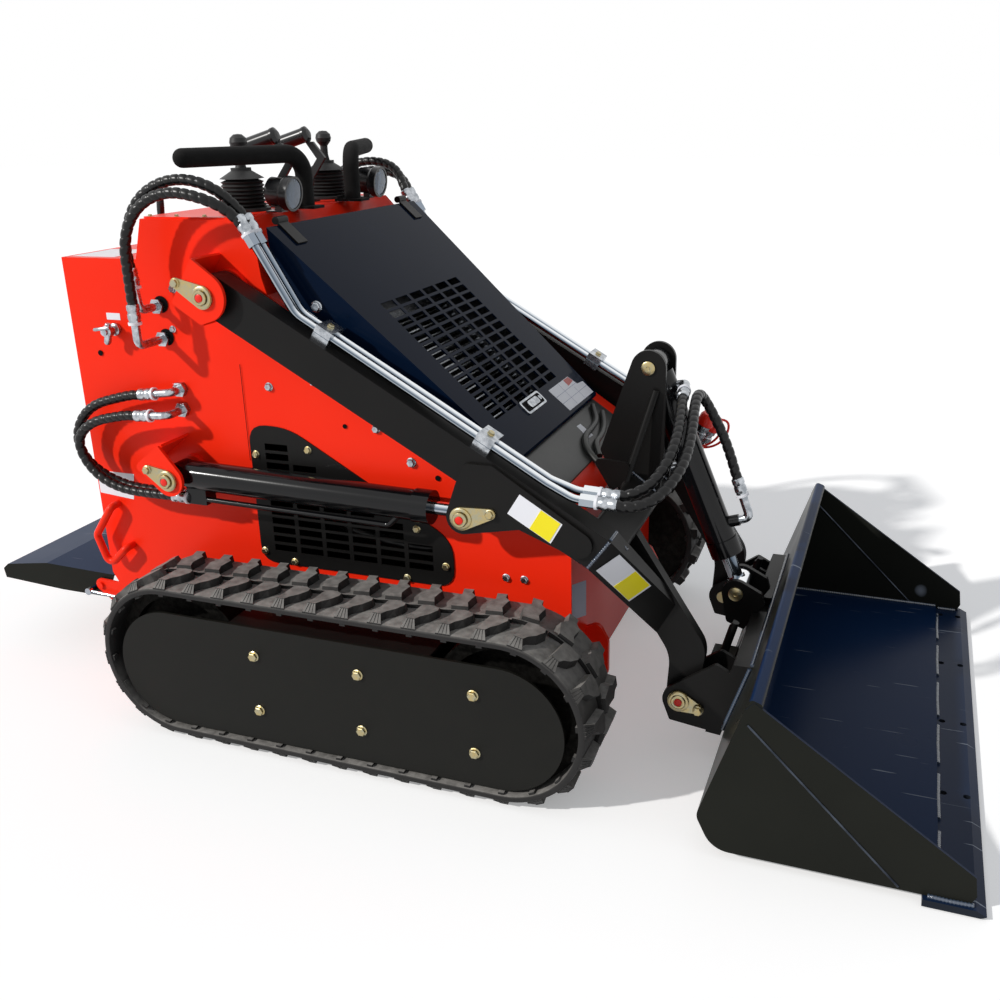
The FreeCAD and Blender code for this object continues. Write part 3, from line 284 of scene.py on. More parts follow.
def polished(name, bands, rough):
    """Bright drawn tube. Its colour carries a painted reflection: soft lengthwise bands, pale above and bluish at the
    sides, as a polished tube shows under an open sky."""
    made, tree, coords, shader = start(name)
    shown = add(tree, "ShaderNodeMapRange", {"Value": upward(tree), "From Min": -1.0, "From Max": 1.0})
    ramp = add(tree, "ShaderNodeValToRGB", {"Fac": shown.outputs[0]})
    for at, colour in bands[1:-1]:
        ramp.color_ramp.elements.new(at).color = rgb(colour)
    ramp.color_ramp.elements[0].color = rgb(bands[0][1])
    ramp.color_ramp.elements[-1].color = rgb(bands[-1][1])
    rubbed(tree, shader, coords, ramp.outputs[0], rough, 3.0, 0.03)
    return made


# Hard chrome on rods and tubes, with a painted reflection: bright top, blue-grey side, dark underside.
chrome = polished("polished_hard_chrome", [(0.0, "#3A4048"), (0.3, "#50575F"), (0.48, "#AEB6BE"), (0.6, "#4C5A68"),
                                           (0.72, "#8C96A2"), (0.86, "#E6EAEE"), (1.0, "#F4F6F8")], 0.12)
# Bright zinc on nuts, ferrules and screws.
zinc = metal("bright_zinc_plate", "#C2C6CB", "#92979D", 0.24)
# Yellow chromate over zinc on keeper plates and grille screws.
yellow_zinc = metal("yellow_chromate_zinc", "#B9A777", "#A9A58C", 0.30, patch=9.0)
# Bare steel along the bucket's folds, scuffed, with leftover black paint.
edge_steel = metal("scuffed_edge_steel", "#2A2E36", "#4C525C", 0.30, streak=(1.0, 0.08, 1.0), grain=6.0, lift=0.3,
                   patch=60.0)
# Cast iron of wheels and rollers, sooty and rough.
iron = metal("sooty_cast_iron", "#2A2927", "#1C1B1A", 0.62, lift=0.5)
# Silvered lamp bowls; their dark blue colour is a painted reflection of the dark machine and the sky.
reflector = metal("silvered_lamp_reflector", "#31465C", "#070D14", 0.12, patch=5.0, lift=0.5)
print("finishes so far:", len(bpy.data.materials))

# %% [markdown]
# Track rubber is moulded, so its skin is smooth in the recesses and rubbed grey on the lug tops. The hose
# guard is a shiny nylon spiral. Foam grips are closed-cell foam: no gloss at all, and a fine pitted skin
# about 1 mm across.

# %% Rubber, nylon, foam and glass


def rubber(name, colour, worn, rough, grain=4.0, lift=0.3, dust=0.5, level=0.4):
    """Moulded rubber or plastic: worn colour on faces that point up, mottled, with a bumpy skin."""
    made, tree, coords, shader = start(name)
    mottle = add(tree, "ShaderNodeTexNoise", {"Vector": coords, "Scale": per(18), "Detail": 6.0})
    up = add(tree, "ShaderNodeMapRange", {"Value": upward(tree), "From Min": 0.1, "From Max": 0.95})
    spread = add(tree, "ShaderNodeMapRange", {"Value": mottle.outputs[0], "From Min": 0.3, "From Max": 0.7,
                                              "To Min": 0.45})
    amount = add(tree, "ShaderNodeMath", {0: up.outputs[0], 1: spread.outputs[0]}, operation="MULTIPLY")
    some = add(tree, "ShaderNodeMath", {0: amount.outputs[0], 1: dust}, operation="MULTIPLY")
    tone = add(tree, "ShaderNodeMix", {"Factor": some.outputs[0], 6: rgb(colour), 7: rgb(worn)},
               data_type="RGBA")
    shine = add(tree, "ShaderNodeMapRange", {"Value": mottle.outputs[0], "To Min": rough * 0.85,
                                             "To Max": min(1.0, rough * 1.2)})
    skin = add(tree, "ShaderNodeTexNoise", {"Vector": coords, "Scale": per(grain), "Detail": 5.0})
    bump = add(tree, "ShaderNodeBump", {"Height": skin.outputs[0], "Strength": lift, "Distance": 0.001})
    fill(tree, shader, {"Base Color": tone.outputs[2], "Roughness": shine.outputs[0], "Normal": bump.outputs[0],
                        "Specular IOR Level": level})
    return made


tread_rubber = rubber("moulded_track_rubber", "#1B1A1A", "#94918D", 0.60, dust=0.9, level=0.3)
guard_nylon = rubber("black_nylon_hose_guard", "#0B0B0C", "#1B1B1D", 0.32, grain=8.0, lift=0.1, dust=0.3,
                     level=0.3)
foam = rubber("closed_cell_foam", "#101010", "#2E2D2D", 0.92, grain=2.6, lift=1.0, dust=0.9, level=0.15)
boot_rubber = rubber("moulded_boot_rubber", "#141415", "#3A3A3A", 0.5, lift=0.15, dust=0.5)
hard_plastic = rubber("glossy_black_plastic", "#121214", "#26272A", 0.25, grain=10.0, lift=0.05, dust=0.4)
red_plug = rubber("red_plastic_plug", "#E8200C", "#FF4A2E", 0.35, lift=0.05, dust=0.2)
# Near-black for painted shade in holes, the latch well and the engine bay, and for the dark seams where sheets meet.
shade_and_joint_black = rubber("shadowed_recess", "#060607", "#0B0B0C", 0.8, dust=0.2, level=0.1)
label_white = rubber("white_vinyl_label", "#E9EAF0", "#F2F2F6", 0.35, lift=0.03, dust=0.3)
label_yellow = rubber("yellow_vinyl_label", "#F4E414", "#F0DC28", 0.35, lift=0.03, dust=0.3)
label_grey = rubber("grey_vinyl_label", "#8E93AC", "#A0A4B8", 0.35, lift=0.03, dust=0.3)
label_red = rubber("red_vinyl_label", "#B8463E", "#C65A50", 0.35, lift=0.03, dust=0.3)
print("finishes so far:", len(bpy.data.materials))

# %% [markdown]
# The drawing's own nodes keep their shape and get these finishes. A node is only given a material: its mesh
# is never touched.

# %% Dress the drawing's nodes
finishes = {
    red_coat: ["chassis_shell", "control_deck", "arm_brackets", "lift_clevises", "tie_down_loops"],
    arm_coat: ["arm_right", "arm_left", "cross_member", "quick_attach", "hood_hinges", "track_frames",
               "side_grilles"],
    hood_coat: ["hood_panel"],
    bucket_coat: ["bucket", "platform"],
    cover_coat: ["track_covers"],
    ram_coat: ["lift_barrel_right", "lift_barrel_left", "tilt_barrel", "gas_spring_barrel"],
    flap_coat: ["front_flap"],
    chrome: ["lift_rod_right", "lift_rod_left", "tilt_rod", "gas_spring_rod", "arm_tubes"],
    zinc: ["side_ports", "hood_latch"],
    yellow_zinc: ["chassis_pins", "arm_pins", "bucket_pins"],
    edge_coat: ["cutting_edge"],
    iron: ["drive_sprockets", "front_idlers", "track_rollers", "engine_block"],
    tread_rubber: ["track_right", "track_left"],
    guard_nylon: ["tower_hoses", "cylinder_hoses", "tilt_hoses"],
    foam: ["handlebars"],
    hard_plastic: ["drive_levers", "work_lamps"],
    boot_rubber: ["joysticks"],
}
for finish, names in finishes.items():
    for name in names:
        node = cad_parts[name]
        node.data.materials.clear()
        node.data.materials.append(finish)
print("dressed", sum(len(v) for v in finishes.values()), "of", len(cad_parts), "nodes")

# %% [markdown]
# **Small solids.** Plates, labels, rings and screws are simple closed solids. A Kit gathers the ones that
# share a finish and a body, so each finish makes one piece. Outlines are pushed along a vector, and round
# things are turned from a profile. Normals are worked out once, when the piece is finished.

# %% A kit of closed solids


def place(piece, body):
    """Puts a finished piece in the scene, on its body. A piece that will bend between two bodies has no body here."""
    scene.collection.objects.link(piece)
    if body:
        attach(piece, body)
    return piece


def prism(count):
    """Faces of a prism whose first points are one end and whose next points are the other."""
    ends = [list(range(count))[::-1], list(range(count, 2 * count))]
    return ends + [[i, (i + 1) % count, count + (i + 1) % count, count + i] for i in range(count)]


def mended(mesh, merge=0.0, outward=True):
    """A mesh with points closer than merge joined, and its faces turned outwards."""
    shape = bmesh.new()
    shape.from_mesh(mesh)
    if merge:
        bmesh.ops.remove_doubles(shape, verts=shape.verts, dist=merge)
    if outward:
        bmesh.ops.recalc_face_normals(shape, faces=shape.faces)
    shape.to_mesh(mesh)
    shape.free()
    return mesh


class Kit:
    """Collects closed solids that share one finish and ride on one body."""

    def __init__(self):
        self.points, self.faces, self.smooth = [], [], []

    def solid(self, points, faces, smooth=False):
        start_at = len(self.points)
        self.points += [Vector(p) for p in points]
        self.faces += [[start_at + i for i in face] for face in faces]
        self.smooth += [smooth] * len(faces)

    def slab(self, outline, push):
        """An outline of points pushed along a vector."""
        outline = [Vector(p) for p in outline]
        self.solid(outline + [p + Vector(push) for p in outline], prism(len(outline)))

    def turned(self, profile, at, direction, sides=24):
        """Profile of (radius, distance) in metres, turned about a line."""
        turn = Vector(direction).to_track_quat("Z", "Y")
        points, faces = [], []
        for radius, distance in profile:
            for k in range(sides):
                a = 2 * math.pi * k / sides
                points.append(Vector(at) + turn @ Vector((radius * math.cos(a), radius * math.sin(a), distance)))
        for row in range(len(profile) - 1):
            for k in range(sides):
                k2 = (k + 1) % sides
                faces.append([row * sides + k, row * sides + k2, (row + 1) * sides + k2, (row + 1) * sides + k])
        self.solid(points, faces, True)
        last = len(profile) - 1
        self.faces += [[len(self.points) - len(points) + k for k in range(sides)][::-1],
                       [len(self.points) - len(points) + last * sides + k for k in range(sides)]]
        self.smooth += [False, False]

    def mesh(self, name):
        """The solids as one mesh, with its faces turned outwards."""
        made = bpy.data.meshes.new(name)
        made.from_pydata(self.points, [], self.faces)
        made.polygons.foreach_set("use_smooth", self.smooth)
        return mended(made)

    def finish(self, name, material, body, slot):
        mesh = self.mesh(name)
        mesh.set_sharp_from_angle(angle=math.radians(40))
        mesh.materials.append(material)
        print(name, len(mesh.polygons), "faces")
        return place(bpy.data.objects.new(name, mesh), body)


# %% [markdown]
# **Geometry Nodes** make what repeats. Three trees do the whole machine: one puts an item on points that
# carry a direction, such as screws; one spaces an item along a closed path, such as tread lugs; and one
# sweeps a tube whose skin swells in a rhythm, which is a hose guard when the rhythm winds round it and a
# weld bead when it doesn't. `grow` runs a tree and keeps only the plain mesh.

# %% Run a tree and keep its mesh


def socket(tree, name, kind, value=None):
    """A named input on a tree."""
    made = tree.interface.new_socket(name, in_out="INPUT", socket_type=kind)
    if value is not None:
        made.default_value = value
    return made


def frozen(thing):
    """The mesh that an object's modifiers make of it."""
    graph = bpy.context.evaluated_depsgraph_get()
    return bpy.data.meshes.new_from_object(thing.evaluated_get(graph), depsgraph=graph)


def evaluated(carrier, tree, values):
    """What a Geometry Nodes tree makes of carrier data, as a plain mesh."""
    holder = bpy.data.objects.new("holder", carrier)
    scene.collection.objects.link(holder)
    modifier = holder.modifiers.new("grow", "NODES")
    modifier.node_group = tree
    for item in tree.interface.items_tree:
        if item.in_out == "INPUT" and item.name in values:
            modifier[item.identifier] = values[item.name]
    mesh = frozen(holder)
    holder.modifiers.remove(modifier)
    bpy.data.objects.remove(holder)
    return mesh


def grow(name, carrier, tree, values, body):
    """Evaluates a tree on carrier data and keeps the result as a plain mesh on one body."""
    mesh = evaluated(carrier, tree, values)
    mesh.name = name
    print(name, len(mesh.polygons), "faces")
    return place(bpy.data.objects.new(name, mesh), body)


def new_tree(name):
    """An empty tree that takes and gives geometry."""
    tree = bpy.data.node_groups.new(name, "GeometryNodeTree")
    tree.interface.new_socket("Geometry", in_out="INPUT", socket_type="NodeSocketGeometry")
    tree.interface.new_socket("Geometry", in_out="OUTPUT", socket_type="NodeSocketGeometry")
    return tree


def give(tree, entry, shape):
    """Ends a tree: plain geometry in the finish that was handed in."""
    real = add(tree, "GeometryNodeRealizeInstances", {0: shape})
    dressed = add(tree, "GeometryNodeSetMaterial", {0: real.outputs[0], "Material": entry.outputs["Finish"]})
    add(tree, "NodeGroupOutput", {0: dressed.outputs[0]})
    print(tree.name, len(tree.nodes), "nodes")


# %% [markdown]
# The first tree: an item on each point. Its Z axis turns to the point's "facing", and "size" scales it, so
# one hexagon screw serves for every thread from M6 to M12.

# %% Tree: items on points
on_points = new_tree("items_on_points")
socket(on_points, "Item", "NodeSocketObject")
socket(on_points, "Finish", "NodeSocketMaterial")
entry = add(on_points, "NodeGroupInput")
facing = add(on_points, "GeometryNodeInputNamedAttribute", {"Name": "facing"}, data_type="FLOAT_VECTOR")
size = add(on_points, "GeometryNodeInputNamedAttribute", {"Name": "size"}, data_type="FLOAT")
turn = add(on_points, "FunctionNodeAlignRotationToVector", {"Vector": facing.outputs[0]}, axis="Z")
item = add(on_points, "GeometryNodeObjectInfo", {"Object": entry.outputs["Item"]})
spread = add(on_points, "GeometryNodeInstanceOnPoints",
             {"Points": entry.outputs["Geometry"], "Instance": item.outputs["Geometry"],
              "Rotation": turn.outputs[0], "Scale": size.outputs[0]})
give(on_points, entry, spread.outputs[0])


def pattern(name, spots):
    """Mesh of points for the tree above, from (point, facing, size)."""
    mesh = bpy.data.meshes.new(name)
    mesh.from_pydata([s[0] for s in spots], [], [])
    mesh.attributes.new("facing", "FLOAT_VECTOR", "POINT")
    mesh.attributes.new("size", "FLOAT", "POINT")
    mesh.attributes["facing"].data.foreach_set("vector", [c for spot in spots for c in spot[1]])
    mesh.attributes["size"].data.foreach_set("value", [spot[2] for spot in spots])
    return mesh


def item_object(name, kit):
    """A small solid that the trees repeat. It is kept out of the scene."""
    mesh = bpy.data.meshes.new(name)
    mesh.from_pydata(kit.points, [], kit.faces)
    return bpy.data.objects.new(name, mended(mesh))


# %% [markdown]
# The second tree: an item at even steps along a closed path. The track turns in one upright plane, so each
# lug's X axis follows the belt and its Y axis stays across the machine.

# %% Tree: items along a path
along_path = new_tree("items_along_path")
socket(along_path, "Item", "NodeSocketObject")
socket(along_path, "Count", "NodeSocketInt", 36)
socket(along_path, "Finish", "NodeSocketMaterial")
entry = add(along_path, "NodeGroupInput")
steps = add(along_path, "GeometryNodeCurveToPoints",
            {"Curve": entry.outputs["Geometry"], "Count": entry.outputs["Count"]}, mode="COUNT")
across = add(along_path, "FunctionNodeInputVector")
across.vector = (0, 1, 0)
turn = add(along_path, "FunctionNodeAxesToRotation",
           {"Primary Axis": steps.outputs["Tangent"], "Secondary Axis": across.outputs[0]},
           primary_axis="X", secondary_axis="Y")
item = add(along_path, "GeometryNodeObjectInfo", {"Object": entry.outputs["Item"]})
spread = add(along_path, "GeometryNodeInstanceOnPoints",
             {"Points": steps.outputs["Points"], "Instance": item.outputs["Geometry"], "Rotation": turn.outputs[0]})
give(along_path, entry, spread.outputs[0])

# %% [markdown]
# The third tree: a swept tube with a rhythm. The depth of the groove depends on how far along the path a
# point is, less how far round the tube it is times "Winding". A winding of 1 gives a helix, and 0 gives
# plain rings.

# %% Tree: wound tube
wound_tube = new_tree("wound_tube")
for title, value in (("Radius", 0.01), ("Pitch", 0.02), ("Depth", 0.001), ("Winding", 1.0), ("Step", 0.003),
                     ("Groove", 4.0)):
    socket(wound_tube, title, "NodeSocketFloat", value)
socket(wound_tube, "Sides", "NodeSocketInt", 14)
socket(wound_tube, "Finish", "NodeSocketMaterial")
entry = add(wound_tube, "NodeGroupInput")
fine = add(wound_tube, "GeometryNodeResampleCurve",
           {"Curve": entry.outputs["Geometry"], "Length": entry.outputs["Step"]}, mode="LENGTH")
gone = add(wound_tube, "GeometryNodeSplineParameter")
kept = add(wound_tube, "GeometryNodeCaptureAttribute", {"Geometry": fine.outputs[0]})
kept.capture_items.new("FLOAT", "Length")
wound_tube.links.new(gone.outputs["Length"], kept.inputs["Length"])
ring = add(wound_tube, "GeometryNodeCurvePrimitiveCircle",
           {"Resolution": entry.outputs["Sides"], "Radius": entry.outputs["Radius"]})
round_it = add(wound_tube, "GeometryNodeSplineParameter")
kept_ring = add(wound_tube, "GeometryNodeCaptureAttribute", {"Geometry": ring.outputs[0]})
kept_ring.capture_items.new("FLOAT", "Factor")
wound_tube.links.new(round_it.outputs["Factor"], kept_ring.inputs["Factor"])
tube_mesh = add(wound_tube, "GeometryNodeCurveToMesh",
                {"Curve": kept.outputs[0], "Profile Curve": kept_ring.outputs[0], "Fill Caps": True})
wind = add(wound_tube, "ShaderNodeMath", {0: kept_ring.outputs["Factor"], 1: entry.outputs["Winding"]},
           operation="MULTIPLY")
# Turns along and round the tube, then how far from the middle of a band (0) towards its groove (1), then how deep.
sunk = kept.outputs["Length"]
for operation, value in (("DIVIDE", entry.outputs["Pitch"]), ("SUBTRACT", wind.outputs[0]), ("FRACT", 0.0),
                         ("SUBTRACT", 0.5), ("ABSOLUTE", 0.0), ("MULTIPLY", 2.0),
                         ("POWER", entry.outputs["Groove"]), ("MULTIPLY", entry.outputs["Depth"]),
                         ("MULTIPLY", -1.0)):
    sunk = add(wound_tube, "ShaderNodeMath", {0: sunk, 1: value}, operation=operation).outputs[0]
outward = add(wound_tube, "GeometryNodeInputNormal")
push = add(wound_tube, "ShaderNodeVectorMath", {0: outward.outputs[0], "Scale": sunk}, operation="SCALE")
moved = add(wound_tube, "GeometryNodeSetPosition", {"Geometry": tube_mesh.outputs[0], "Offset": push.outputs[0]})
soft_skin = add(wound_tube, "GeometryNodeSetShadeSmooth", {0: moved.outputs[0]})
give(wound_tube, entry, soft_skin.outputs[0])


def route(name, lines, order=3, closed=False):
    """Curve data with one spline for each list of points. Order 3 rounds its corners, and 1 keeps them."""
    curve = bpy.data.curves.new(name, "CURVE")
    curve.dimensions = "3D"
    curve.resolution_u = 12
    for points in lines:
        spline = curve.splines.new("NURBS" if order > 1 else "POLY")
        spline.points.add(len(points) - 1)
        for knot, p in zip(spline.points, points):
            knot.co = (*p, 1.0)
        if order > 1:
            spline.order_u = order
            spline.use_endpoint_u = True
        spline.use_cyclic_u = closed
    return curve


def sweep(name, lines, look, body, order=3):
    """The third tree along lines of drawing points. Unless the look gives a depth, the tube is plain."""
    curve = route(name, [[mm(*p) for p in line] for line in lines], order)
    return grow(name, curve, wound_tube, {"Depth": 0.0, **look}, body)


# %% [markdown]
# **The rubber tracks.** The real track is one moulded belt with steel cords inside. Its outside has two rows
# of lugs, staggered by half a link: each lug is narrow and fluted where it runs down to the belt's edge, and
# grows into a wide hooked block towards the middle, where a thin crest joins all of them. The belt could be
# an extrusion and the lugs an array, but the path is what the track follows, so a path tree places them.
# 36 links of 72.7 mm go round.

# %% Track path
WHEEL_REAR, WHEEL_FRONT, AXLE_HEIGHT = -371.0, 388.0, 191.0
BELT_OUTER, BELT_WIDTH, LUG, FOOT, LINKS = 175.0, 180.0, 15.8, 4.0, 36
TRACK_OUTER, FIRST_LUG = 584.0, 361.0
BELT_STEPS, PATH_STEPS = 6 * LINKS, 8 * LINKS
CLEAR_OF_FLOOR = 0.0002
run_length = WHEEL_FRONT - WHEEL_REAR
loop_length = 2 * run_length + 2 * math.pi * BELT_OUTER


def belt_point(distance, radius):
    """Point in (X, Z) on the loop: along the top forwards, round the front, back under, round the rear."""
    arc = math.pi * BELT_OUTER
    distance %= loop_length
    if distance < run_length:
        return WHEEL_REAR + distance, AXLE_HEIGHT + radius
    distance -= run_length
    if distance < arc:
        a = math.pi / 2 - distance / BELT_OUTER
        return WHEEL_FRONT + radius * math.cos(a), AXLE_HEIGHT + radius * math.sin(a)
    distance -= arc
    if distance < run_length:
        return WHEEL_FRONT - distance, AXLE_HEIGHT - radius
    a = -math.pi / 2 - (distance - run_length) / BELT_OUTER
    return WHEEL_REAR + radius * math.cos(a), AXLE_HEIGHT + radius * math.sin(a)


print("pitch", round(loop_length / LINKS, 2), "mm")

# %% [markdown]
# Each lug is drawn once, in millimetres: u along the belt, v across it from the outer edge, and a height.
# The side walls lean 4 mm. The flutes are four low wedges on the sloping end. Under fifty faces each, because
# seventy-two go on each track.

# %% Lugs


def laid(points, sign):
    """Points (u, v, height) in metres, with v running to the side that the track needs."""
    return [Vector((u, v * sign, w)) / 1000 for u, v, w in points]


def lug_solid(kit, top, sign):
    """A lug from its top outline in (u, v): a wider foot, then the top, as one closed solid."""
    cu = sum(p[0] for p in top) / len(top)
    cv = sum(p[1] for p in top) / len(top)
    feet = []
    for u, v in top:
        du, dv = u - cu, v - cv
        reach = math.hypot(du, dv)
        feet.append((u + du / reach * FOOT, min(max(v + dv / reach * FOOT, 0.5), BELT_WIDTH - 0.5), -2.0))
    kit.solid(laid(feet + [(u, v, LUG) for u, v in top], sign), prism(len(top)))


outer_top = [(-9, 15), (9, 15), (15, 28), (27, 41), (31, 50), (37, 62), (35, 74), (13, 80), (-3, 77), (-6, 36)]
inner_top = [(-26, 172), (-5, 174), (-3, 158), (9, 147), (7, 130), (6, 114), (14, 96), (-20, 92), (-30, 125),
             (-20, 148)]
crest = [(-37, 84), (-18, 88), (12, 90), (20, 84), (36, 84), (36, 89), (22, 89), (13, 96), (-19, 95), (-37, 89)]


def lug_pair(side):
    """Both lugs of one link, with flutes and crest, for the right (-1) or left (1) track."""
    kit = Kit()
    sign = -side
    lug_solid(kit, outer_top, sign)
    lug_solid(kit, inner_top, sign)
    wedges = []
    for i in range(4):
        u0, u1 = -15 + 8.2 * i, -9 + 8.2 * i
        t0, t1 = -8.5 + 4.6 * i, -5.5 + 4.6 * i
        wedges.append([(u0, 0.3, -2), (u1, 0.3, -2), (t1, 19, -2), (t0, 19, -2), (u0, 0.3, 1.2), (u1, 0.3, 1.2),
                       (t1, 15.5, 15.2), (t0, 15.5, 15.2)])
    wedges.append([(-13, 0.5, -2), (14, 0.5, -2), (9, 17, -2), (-9, 17, -2), (-12, 0.8, 0.4), (12, 0.8, 0.4),
                   (8.5, 15.6, 13.4), (-8.5, 15.6, 13.4)])
    for wedge in wedges:
        kit.solid(laid(wedge, sign), prism(4))
    kit.slab(laid([(u, v, -1) for u, v in crest], sign), (0, 0, 0.009))
    for v0, v1 in ((3, 15), (165, 177)):
        kit.slab(laid([(-6, v0, -19), (6, v0, -19), (6, v1, -19), (-6, v1, -19)], sign), (0, 0, 0.006))
    return kit


def make_track(name, side):
    """A belt with its lugs, in place of the drawing's plain track."""
    edge_y, sign = side * TRACK_OUTER, -side
    # The belt's outline from edge to edge: across it, and out from its outer face.
    section = [(0.6, -13.2), (0, -11.5), (0, -3.5), (1.2, -1.0), (4, 0), (60, 0), (120, 0), (176, 0), (178.8, -1.0),
               (180, -3.5), (180, -11.5), (179.4, -13.2), (177, -14), (3, -14)]
    n = len(section)
    points, faces = [], []
    for i in range(BELT_STEPS):
        j = (i + 1) % BELT_STEPS
        for k, (v, w) in enumerate(section):
            x, z = belt_point(loop_length * i / BELT_STEPS, BELT_OUTER + w)
            points.append(mm(x, edge_y + sign * v, z))
            m = (k + 1) % n
            faces.append([i * n + k, i * n + m, j * n + m, j * n + k])
    belt = Kit()
    belt.solid(points, faces, True)
    body = belt.finish(name + "_belt", tread_rubber, "chassis", "track_rubber")
    lugs = item_object(name + "_lug", lug_pair(side))
    path_points = []
    for i in range(PATH_STEPS):
        x, z = belt_point(FIRST_LUG + loop_length * i / PATH_STEPS, BELT_OUTER)
        path_points.append(mm(x, edge_y, z))
    path = route(name + "_path", [path_points], order=1, closed=True)
    tread = grow(name + "_tread", path, along_path, {"Item": lugs, "Count": LINKS, "Finish": tread_rubber},
                 "chassis")
    for vertex in tread.data.vertices:
        vertex.co.z = max(vertex.co.z, CLEAR_OF_FLOOR)
    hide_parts("track_right" if side < 0 else "track_left")


make_track("right_track", -1)
make_track("left_track", 1)

# %% [markdown]
# **Hoses.** Each hydraulic hose is a rubber hose in a spiral nylon guard, a flat strip wound on with about
# 20 mm of pitch, so its skin is a row of rounded bands with narrow grooves between. It leaves its port in a
# crimped steel ferrule. The centre line is a smooth spline through the points of the drawing.

# %% Hose routes
PIVOT_TUBES = (363, 389)


def tower_route(i):
    y = -404 - 24 * i
    x, z = (-471, 918) if i == 0 else (-467, 847)
    bend = Vector((-486 + 18 * i, y, 1065))
    corner = Vector((x, y, z))
    first = corner + (bend - corner).normalized() * 46
    tip, second = Vector((-191, 1075)), Vector((-100, 922))
    back = tip + (tip - second).normalized() * 42
    plane = -PIVOT_TUBES[i]
    return [first, first.lerp(bend, 0.5), bend, Vector((-440 + 14 * i, y, 1150 - 18 * i)),
            Vector((-348, y, 1188 - 24 * i)), Vector((-254, y, 1172 - 24 * i)),
            Vector((back.x, plane, back.y)), Vector((tip.x, plane, tip.y))]


def ram_route(i):
    y = -380 - 22 * i
    axis = Vector((690, -15)).normalized()
    x, z = -430 + axis.x * 45, 555 + axis.y * 45
    corner, bend = Vector((-440, y, (736, 690)[i])), Vector((-562, y, 722 - 40 * i))
    first = corner + (bend - corner).normalized() * 42
    return [first, first.lerp(bend, 0.5), bend, Vector((-676 + 20 * i, y, 690 - 30 * i)),
            Vector((-728 + 24 * i, y, 612)), Vector((-696 + 20 * i, y, 545)), Vector((-600, y, z - 50)),
            Vector((x - 80, y, z - 50)), Vector((x - 24, y, z - 50))]


tilt_routes = [
    [(524, -363, 598), (562, -363, 596.3), (592, -357, 602), (619, -334, 617), (639, -290, 648), (643, -225, 682),
     (634, -155, 707), (623.5, -92, 726.4), (618, -48, 731)],
    [(524, -389, 590), (556, -389, 588.6), (592, -386, 585), (628, -368, 594), (655, -325, 618), (668, -262, 650),
     (664, -190, 684), (654, -120, 712), (648, -58, 730), (652, -8, 712), (690, 2, 640), (712, 2, 588),
     (728.5, 2, 537), (745, 2, 492)],
]


def framed(points, side=-1):
    """Points in millimetres to the frame, mirrored for the left side."""
    return [mm(p[0], p[1] * -side, p[2]) for p in points]


print("hoses:", 2 * len(PIVOT_TUBES), "to the arms, 4 to the lift cylinders,", len(tilt_routes), "to the tilt cylinder")
hose_look = {"Radius": 0.0112, "Pitch": 0.019, "Depth": 0.0028, "Winding": 1.0, "Step": 0.0024, "Groove": 5.0,
             "Sides": 14, "Finish": guard_nylon}

# %% [markdown]
# The tower hoses join the red body to the tubes on the lift arms, so they bend from one body to the other
# when the arms rise. The cylinder hoses bend between the body and the swinging barrel in the same way, and
# the tilt hoses between the arms and the tilt cylinder.

# %% Hoses in their guards
ferrules, sleeves = {}, {}


def guard_and_ends(name, points, first_owner, last_owner):
    """A guarded hose, with a ferrule at each end that belongs to the body it is bolted to."""
    hose = grow(name, route(name, [points]), wound_tube, hose_look, None)
    for at, towards, owner in ((points[0], points[1], first_owner), (points[-1], points[-2], last_owner)):
        direction = (towards - at).normalized()
        kit = ferrules.setdefault(owner, Kit())
        profile = [(0.0095, -0.002), (0.0135, 0.0), (0.0135, 0.004), (0.0122, 0.006), (0.0122, 0.010),
                   (0.0135, 0.012), (0.0135, 0.022), (0.0122, 0.024), (0.0122, 0.028), (0.0135, 0.030),
                   (0.0135, 0.040), (0.0118, 0.042), (0.0112, 0.0425)]
        kit.turned(profile, at, direction, 20)
        sleeve = sleeves.setdefault(owner, Kit())
        sleeve.turned([(0.0115, 0.0), (0.0144, 0.0005), (0.0144, 0.006), (0.0115, 0.0065)],
                      at - direction * 0.001, direction, 20)
    return hose


for side, side_name in ((-1, "right"), (1, "left")):
    for i in range(2):
        points = framed(tower_route(i), side)
        hose = guard_and_ends(f"tower_hose_{side_name}_{i}", points, "chassis", "lift_arms")
        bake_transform(hose, "chassis", "lift_arms", start=points[3], end=points[-2])
        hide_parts("tower_hoses")
        points = framed(ram_route(i), side)
        barrel = "lift_barrel_" + side_name
        hose = guard_and_ends(f"cylinder_hose_{side_name}_{i}", points, "chassis", barrel)
        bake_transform(hose, "chassis", barrel, start=mm(-690, 0, 550), end=mm(-632, 0, 434))
        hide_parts("cylinder_hoses")
for i, line in enumerate(tilt_routes):
    points = framed(line)
    hose = guard_and_ends(f"tilt_hose_{i}", points, "lift_arms", "tilt_barrel")
    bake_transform(hose, "lift_arms", "tilt_barrel", start=mm(640, -300, 700), end=mm(640, -62, 700))
    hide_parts("tilt_hoses")
for owner, kit in ferrules.items():
    kit.finish(f"ferrules_{owner}", zinc, owner, "plated_steel")
for owner, kit in sleeves.items():
    kit.finish(f"white_rings_{owner}", label_white, owner, "plated_steel")

# %% [markdown]
# **Seating parts on a surface.** Screws and labels sit on walls, and some of the walls slope. A ray cast
# against a node's own triangles finds the exact place and the way the wall faces, so nothing floats or
# sinks when a wall leans.

# %% Find the surface
START_BACK = 0.06
skins = {}


def seat(name, at, look):
    """Where a line through a drawing point, looking along look, meets a node: the place and its normal."""
    if name not in skins:
        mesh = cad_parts[name].data
        skins[name] = BVHTree.FromPolygons([v.co for v in mesh.vertices], [p.vertices for p in mesh.polygons])
    direction = Vector(look).normalized()
    spot, normal, _, _ = skins[name].ray_cast(mm(*at) - direction * START_BACK, direction)
    if spot is None:
        raise ValueError(f"nothing of {name} at {at}")
    return spot, (normal if normal.dot(direction) < 0 else -normal)


